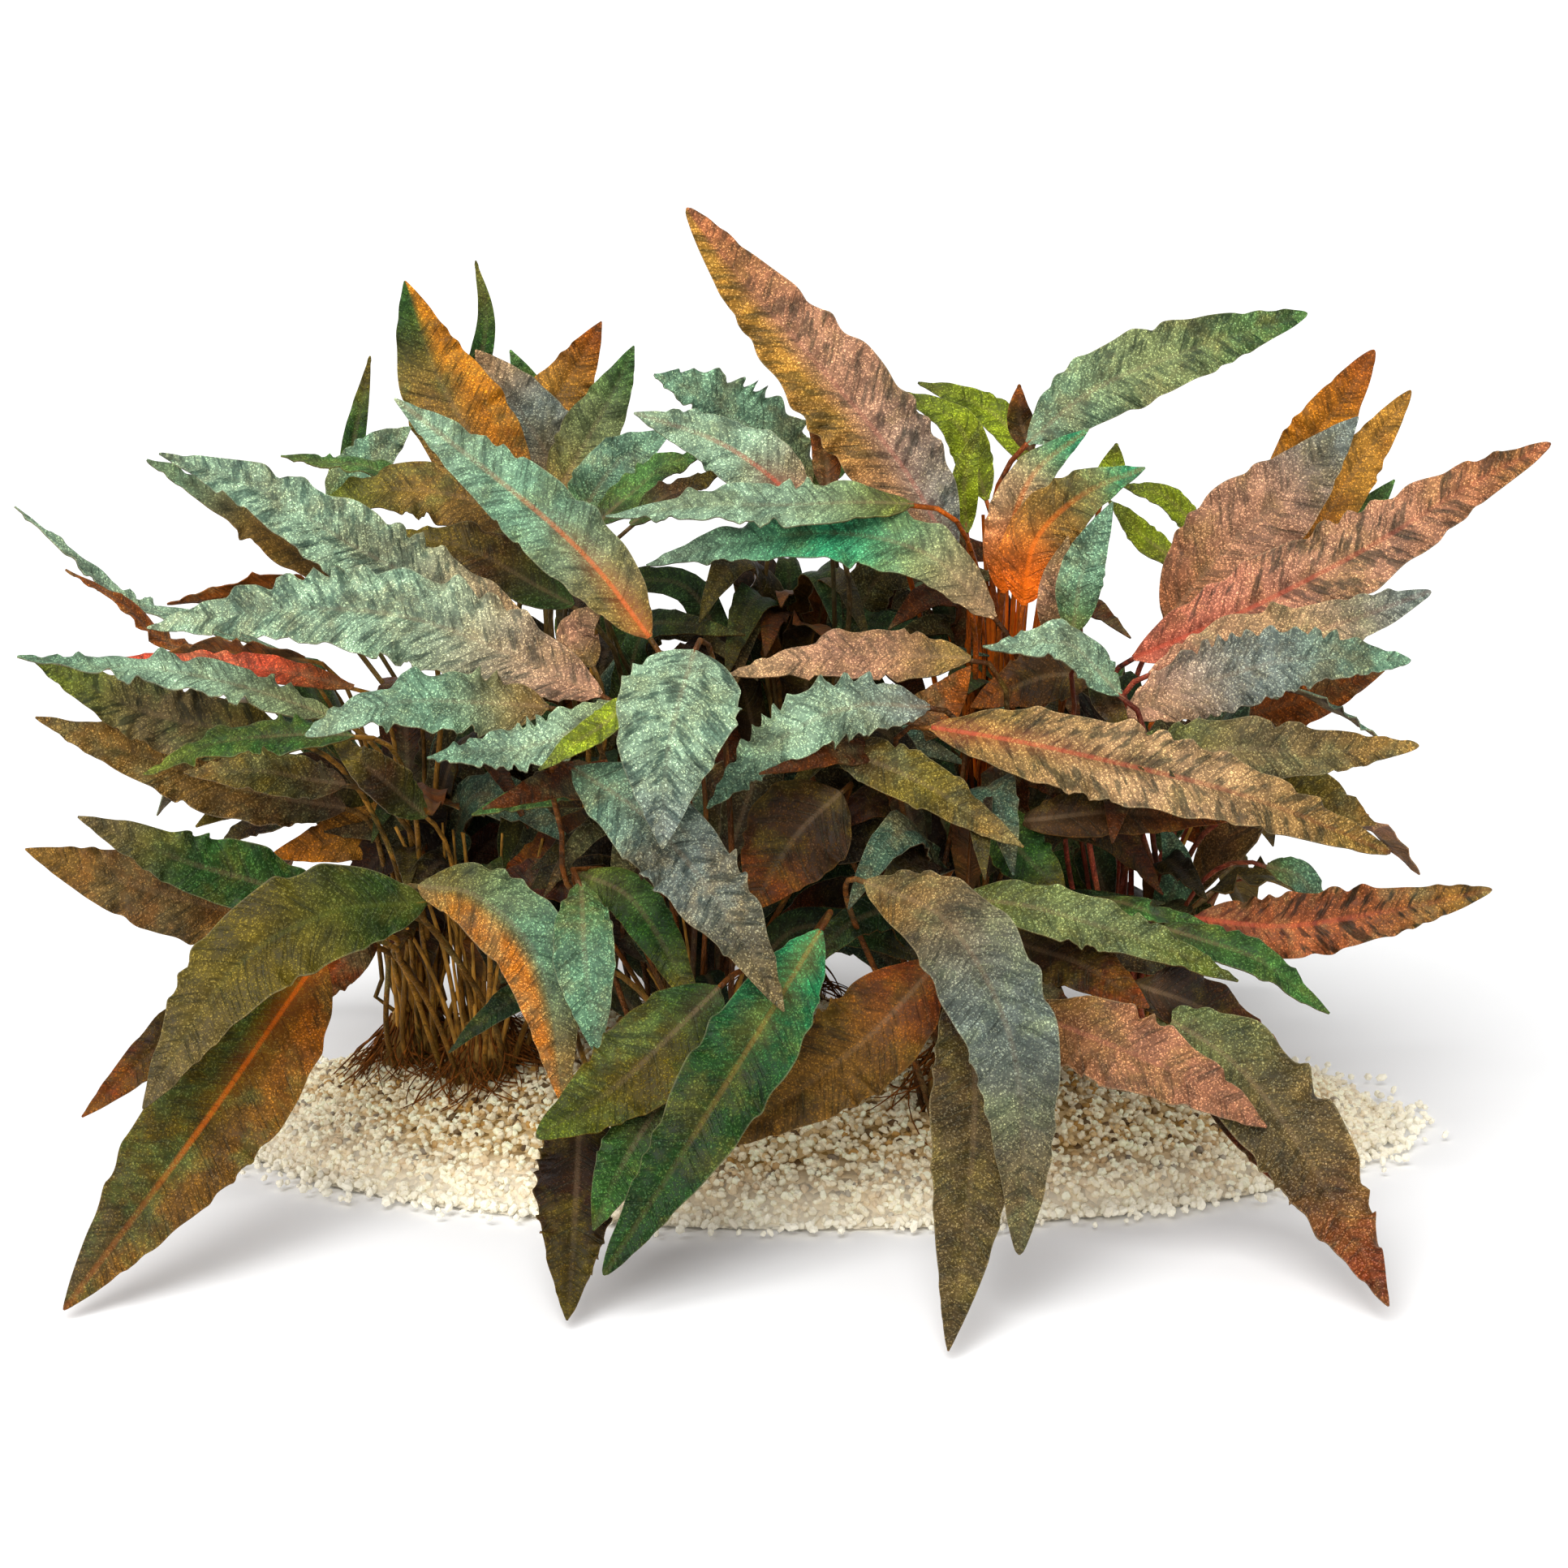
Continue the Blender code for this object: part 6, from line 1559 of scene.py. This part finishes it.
def sand_skin(name, of_grains):
    """Cream and tan sand with a few dark minerals, whitened towards the heap's rim as painted light, over a
    darker body that is partly painted shade.
    """
    r = Recipe(name)
    x, y, z = r.parts(r.node("TexCoord").outputs["Object"])
    right = r.math("MULTIPLY_ADD", x, 1000 / MOUND_HALF_WIDTH, -MOUND_CENTRE_X / MOUND_HALF_WIDTH)
    back = r.math("MULTIPLY", y, 1000 / MOUND_HALF_DEPTH)
    out = r.math("MULTIPLY_ADD", right, right, r.math("MULTIPLY", back, back))
    # Painted light: the sand is whitened towards the heap's rim, so that it fades into the bright floor.
    painted_rim_light = r.spread(r.math("MULTIPLY_ADD", r.noise(40.0, 2.0), 0.3, out),
                        PAINTED_LIGHT_FROM, PAINTED_LIGHT_TO, 0.0, 0.95)
    if of_grains:
        stain = r.spread(r.noise(700.0, 2.0), 0.35, 0.65, 0.0, 0.2)
        colour = r.mix(stain, r.read("tone", "Color"), linear("sand tan"))
        colour = r.mix(painted_rim_light, colour, linear("rim light white"))
        return r.finish(colour, 0.72, r.noise(2200.0, 3.0), 0.0001, 0.35)
    cell = r.node("TexVoronoi")
    cell.inputs["Scale"].default_value = 620.0
    r.feed(cell.inputs["Vector"], r.node("TexCoord").outputs["Object"])
    by_chance = r.parts(cell.outputs["Color"])
    # The body under the grains is tan with bronze cells, darker than the grains: partly the sand's own tan,
    # partly painted shade for the gaps between grains.
    colour = r.mix(r.spread(by_chance[0], 0.4, 0.8, 0.0, 1.0), linear("sand tan"), linear("bronze"))
    colour = r.mix(r.spread(by_chance[1], 0.93, 0.96, 0.0, 0.8), colour, linear("umber"))
    colour = r.mix(painted_rim_light, colour, linear("rim light white"))
    return r.finish(colour, 0.85, r.math("MULTIPLY", cell.outputs["Distance"], -1.0), 0.0006, 0.3)


show("sand_heap", heap_mesh, "sand", sand_skin("packed sand", False), "sand_mound")
print("bleached from", round(PAINTED_LIGHT_FROM ** 0.5, 2), "to", round(PAINTED_LIGHT_TO ** 0.5, 2), "of the way to the rim")

# %% [markdown]
# Real grains are broken crystal, not balls.  Three are made from an icosphere, one
# flat, one stout and one long, each with a corner bisected away.  A particle system
# could strew them, but the export would drop it.  So the copies are joined in one mesh.

# %% The grains
def cut_grain(stretch, cut):
    """One broken grain, one unit across."""
    bpy.ops.object.select_all(action="DESELECT")
    bpy.ops.mesh.primitive_ico_sphere_add(subdivisions=1, radius=0.5)
    grain = bpy.context.object
    bpy.ops.object.mode_set(mode="EDIT")
    bpy.ops.transform.resize(value=stretch, center_override=(0, 0, 0))
    bpy.ops.mesh.bisect(plane_co=(0.3 * cut, 0, 0.25 * cut), plane_no=(0.8, 0.2, 0.6),
                        use_fill=True, clear_outer=True)
    bpy.ops.object.mode_set(mode="OBJECT")
    return taken(grain)


GRAINS = [cut_grain((1.0, 0.8, 0.65), 1.0), cut_grain((1.1, 0.9, 0.8), 0.8),
          cut_grain((1.25, 0.7, 0.7), 1.1)]
GRAIN_TONES = (("sand cream", 0.50), ("pale sand", 0.22), ("sand tan", 0.15), ("straw", 0.08),
               ("umber", 0.05))


print("grains of", [len(grain.polygons) for grain in GRAINS], "faces")

# %% [markdown]
# Each copy is turned and sized by chance, with a fixed seed, so the heap is the same on
# every run.  A grain's colour is one of five, a little lighter or darker.

# %% Strewing the grains
GRAIN_PIECES = 3
GRAINS_A_PIECE = 5200
GRAIN_SIZES = (1.5, 3.1)
GRAIN_REACH = 1.1
BEHIND = 0.45
SUNK, RESTING = 0.15, 0.62


def scatter(count, spots, sizes):
    """Many turned copies of the grains in one mesh, at these spots and of these sizes."""
    kinds = chance.integers(0, len(GRAINS), count)
    tones = chance.choice(len(GRAIN_TONES), count, p=[share for _, share in GRAIN_TONES])
    colours = np.array([linear(name) for name, _ in GRAIN_TONES])[tones]
    colours = np.minimum(colours * chance.uniform(0.9, 1.2, (count, 1)), 0.97)
    turns = chance.normal(size=(count, 4))
    turns /= np.linalg.norm(turns, axis=1, keepdims=True)
    w, i, j, k = turns.T
    turn = np.stack([1 - 2 * (j * j + k * k), 2 * (i * j - w * k), 2 * (i * k + w * j),
                     2 * (i * j + w * k), 1 - 2 * (i * i + k * k), 2 * (j * k - w * i),
                     2 * (i * k - w * j), 2 * (j * k + w * i), 1 - 2 * (i * i + j * j)], axis=1)
    turn = turn.reshape(-1, 3, 3)
    points, faces, painted, first = [], [], [], 0
    for kind, grain in enumerate(GRAINS):
        mine = np.flatnonzero(kinds == kind)
        shape = np.array([vertex.co for vertex in grain.vertices])
        placed = np.einsum("nij,pj->npi", turn[mine], shape) * sizes[mine, None, None]
        placed = placed + spots[mine, None, :]
        points.append(placed.reshape(-1, 3))
        painted.append(np.repeat(colours[mine], len(shape), axis=0))
        rows = [tuple(polygon.vertices) for polygon in grain.polygons]
        for n in range(len(mine)):
            start = first + n * len(shape)
            faces += [tuple(start + v for v in row) for row in rows]
        first += len(mine) * len(shape)
    mesh = bpy.data.meshes.new("grains")
    mesh.from_pydata((np.vstack(points) * MM).tolist(), [], faces)
    painted = np.vstack(painted)
    kept = mesh.attributes.new("tone", "FLOAT_COLOR", "POINT")
    painted = np.column_stack([painted, np.ones(len(painted))])
    kept.data.foreach_set("color", painted.astype(np.float32).ravel())
    mesh.update()
    return mesh


def heap_spots(count):
    """Spots on the heap's skin, more of them in front and a few just past its rim."""
    spots = []
    while len(spots) < count:
        px, py = chance.uniform(-GRAIN_REACH, GRAIN_REACH, 2)
        rim = math.hypot(px, py)
        if rim < 1 + 0.1 * chance.uniform() ** 4 and chance.uniform() < (1.0 if py < 0.1 else BEHIND):
            spots.append((MOUND_CENTRE_X + px * MOUND_HALF_WIDTH, py * MOUND_HALF_DEPTH))
    spots = np.array(spots)
    inside = np.hypot((spots[:, 0] - MOUND_CENTRE_X) / MOUND_HALF_WIDTH, spots[:, 1] / MOUND_HALF_DEPTH)
    run_out = soft_rim(inside)
    return np.column_stack([spots, run_out * mound_height(spots[:, 0], spots[:, 1])])


GRAIN_SKIN = sand_skin("loose grains", True)
for layer in range(GRAIN_PIECES):
    spots = heap_spots(GRAINS_A_PIECE)
    sizes = chance.uniform(*GRAIN_SIZES, GRAINS_A_PIECE)
    spots[:, 2] = np.maximum(spots[:, 2] - sizes * SUNK, sizes * RESTING)
    grains = scatter(GRAINS_A_PIECE, spots, sizes)
    show(f"sand_grains_{layer + 1}", grains, "sand", GRAIN_SKIN, "sand_mound")
    print("grains:", GRAINS_A_PIECE, "in", len(grains.polygons), "faces")

# %% [markdown] The plant stands on a plain floor, almost white, so that nothing
# competes with it.

# %% The floor
FLOOR_SIZE = 400
FLOOR_DROP = 0.0006
bpy.ops.object.select_all(action="DESELECT")
bpy.ops.mesh.primitive_plane_add(size=FLOOR_SIZE, location=(0, 0, -FLOOR_DROP))
floor = bpy.context.object
floor.name = "floor"
bpy.ops.object.transform_apply(location=True)
plain = Recipe("white floor")
floor.data.materials.append(plain.finish((0.97, 0.97, 0.97, 1), 0.9, 0.0, 0.0001, 0.1))
print("floor", FLOOR_SIZE, "m wide")

# %% [markdown]
# The light is one very wide soft source high in front on the left, and a surround that
# is bright at the horizon and dimmer overhead.  An even surround alone would be simpler,
# but it leaves tops and undersides equally bright, and the clump would look flat.

# %% The light
HORIZON = 1.15
OVERHEAD = 0.6
DIMS_FROM, DIMS_TO = 0.03, 0.35
KEY_STRENGTH = 2.9
KEY_WIDTH, KEY_TILT, KEY_TURN = (math.radians(angle) for angle in (50, 45, -22))
scene = bpy.context.scene
scene.view_settings.view_transform = "Standard"
scene.view_settings.look = "None"
world = scene.world or bpy.data.worlds.new("surround")
scene.world = world
world.use_nodes = True
nodes, links = world.node_tree.nodes, world.node_tree.links
surround = nodes["Background"]
surround.inputs["Color"].default_value = (1, 1, 1, 1)
direction = nodes.new("ShaderNodeTexCoord")
height = nodes.new("ShaderNodeSeparateXYZ")
brightness = nodes.new("ShaderNodeMapRange")
for socket, value in zip(brightness.inputs[1:], (DIMS_FROM, DIMS_TO, HORIZON, OVERHEAD)):
    socket.default_value = value
links.new(direction.outputs["Generated"], height.inputs[0])
links.new(height.outputs["Z"], brightness.inputs["Value"])
links.new(brightness.outputs[0], surround.inputs["Strength"])

key = bpy.data.lights.new("key", "SUN")
key.energy = KEY_STRENGTH
key.angle = KEY_WIDTH
holder = bpy.data.objects.new("key", key)
holder.rotation_euler = (KEY_TILT, 0, KEY_TURN)
scene.collection.objects.link(holder)
print("key light of", KEY_STRENGTH, "over a surround of", OVERHEAD, "to", HORIZON)

# %% [markdown]
# The camera stands where the leaves were read from, and looks down by the same angle.
# Its lens could be found by trial.  It follows from the readings instead: from 900 mm
# away it frames 386 mm, which is 0.2 mm for each of the photograph's 1932 pixels.

# %% The camera
LENS = 83.85
SENSOR = 36.0
lens = bpy.data.cameras.new("camera")
lens.lens = LENS
lens.sensor_width = SENSOR
lens.clip_start = 0.01
camera = bpy.data.objects.new("camera", lens)
camera.location = tuple(eye() * MM)
camera.rotation_euler = (math.radians(90) - VIEW_TILT, 0, 0)
scene.collection.objects.link(camera)
scene.camera = camera
framed = round(SENSOR / LENS * VIEW_DISTANCE)
print("camera at", [round(v, 4) for v in camera.location], "framing", framed, "mm")

# %% [markdown]
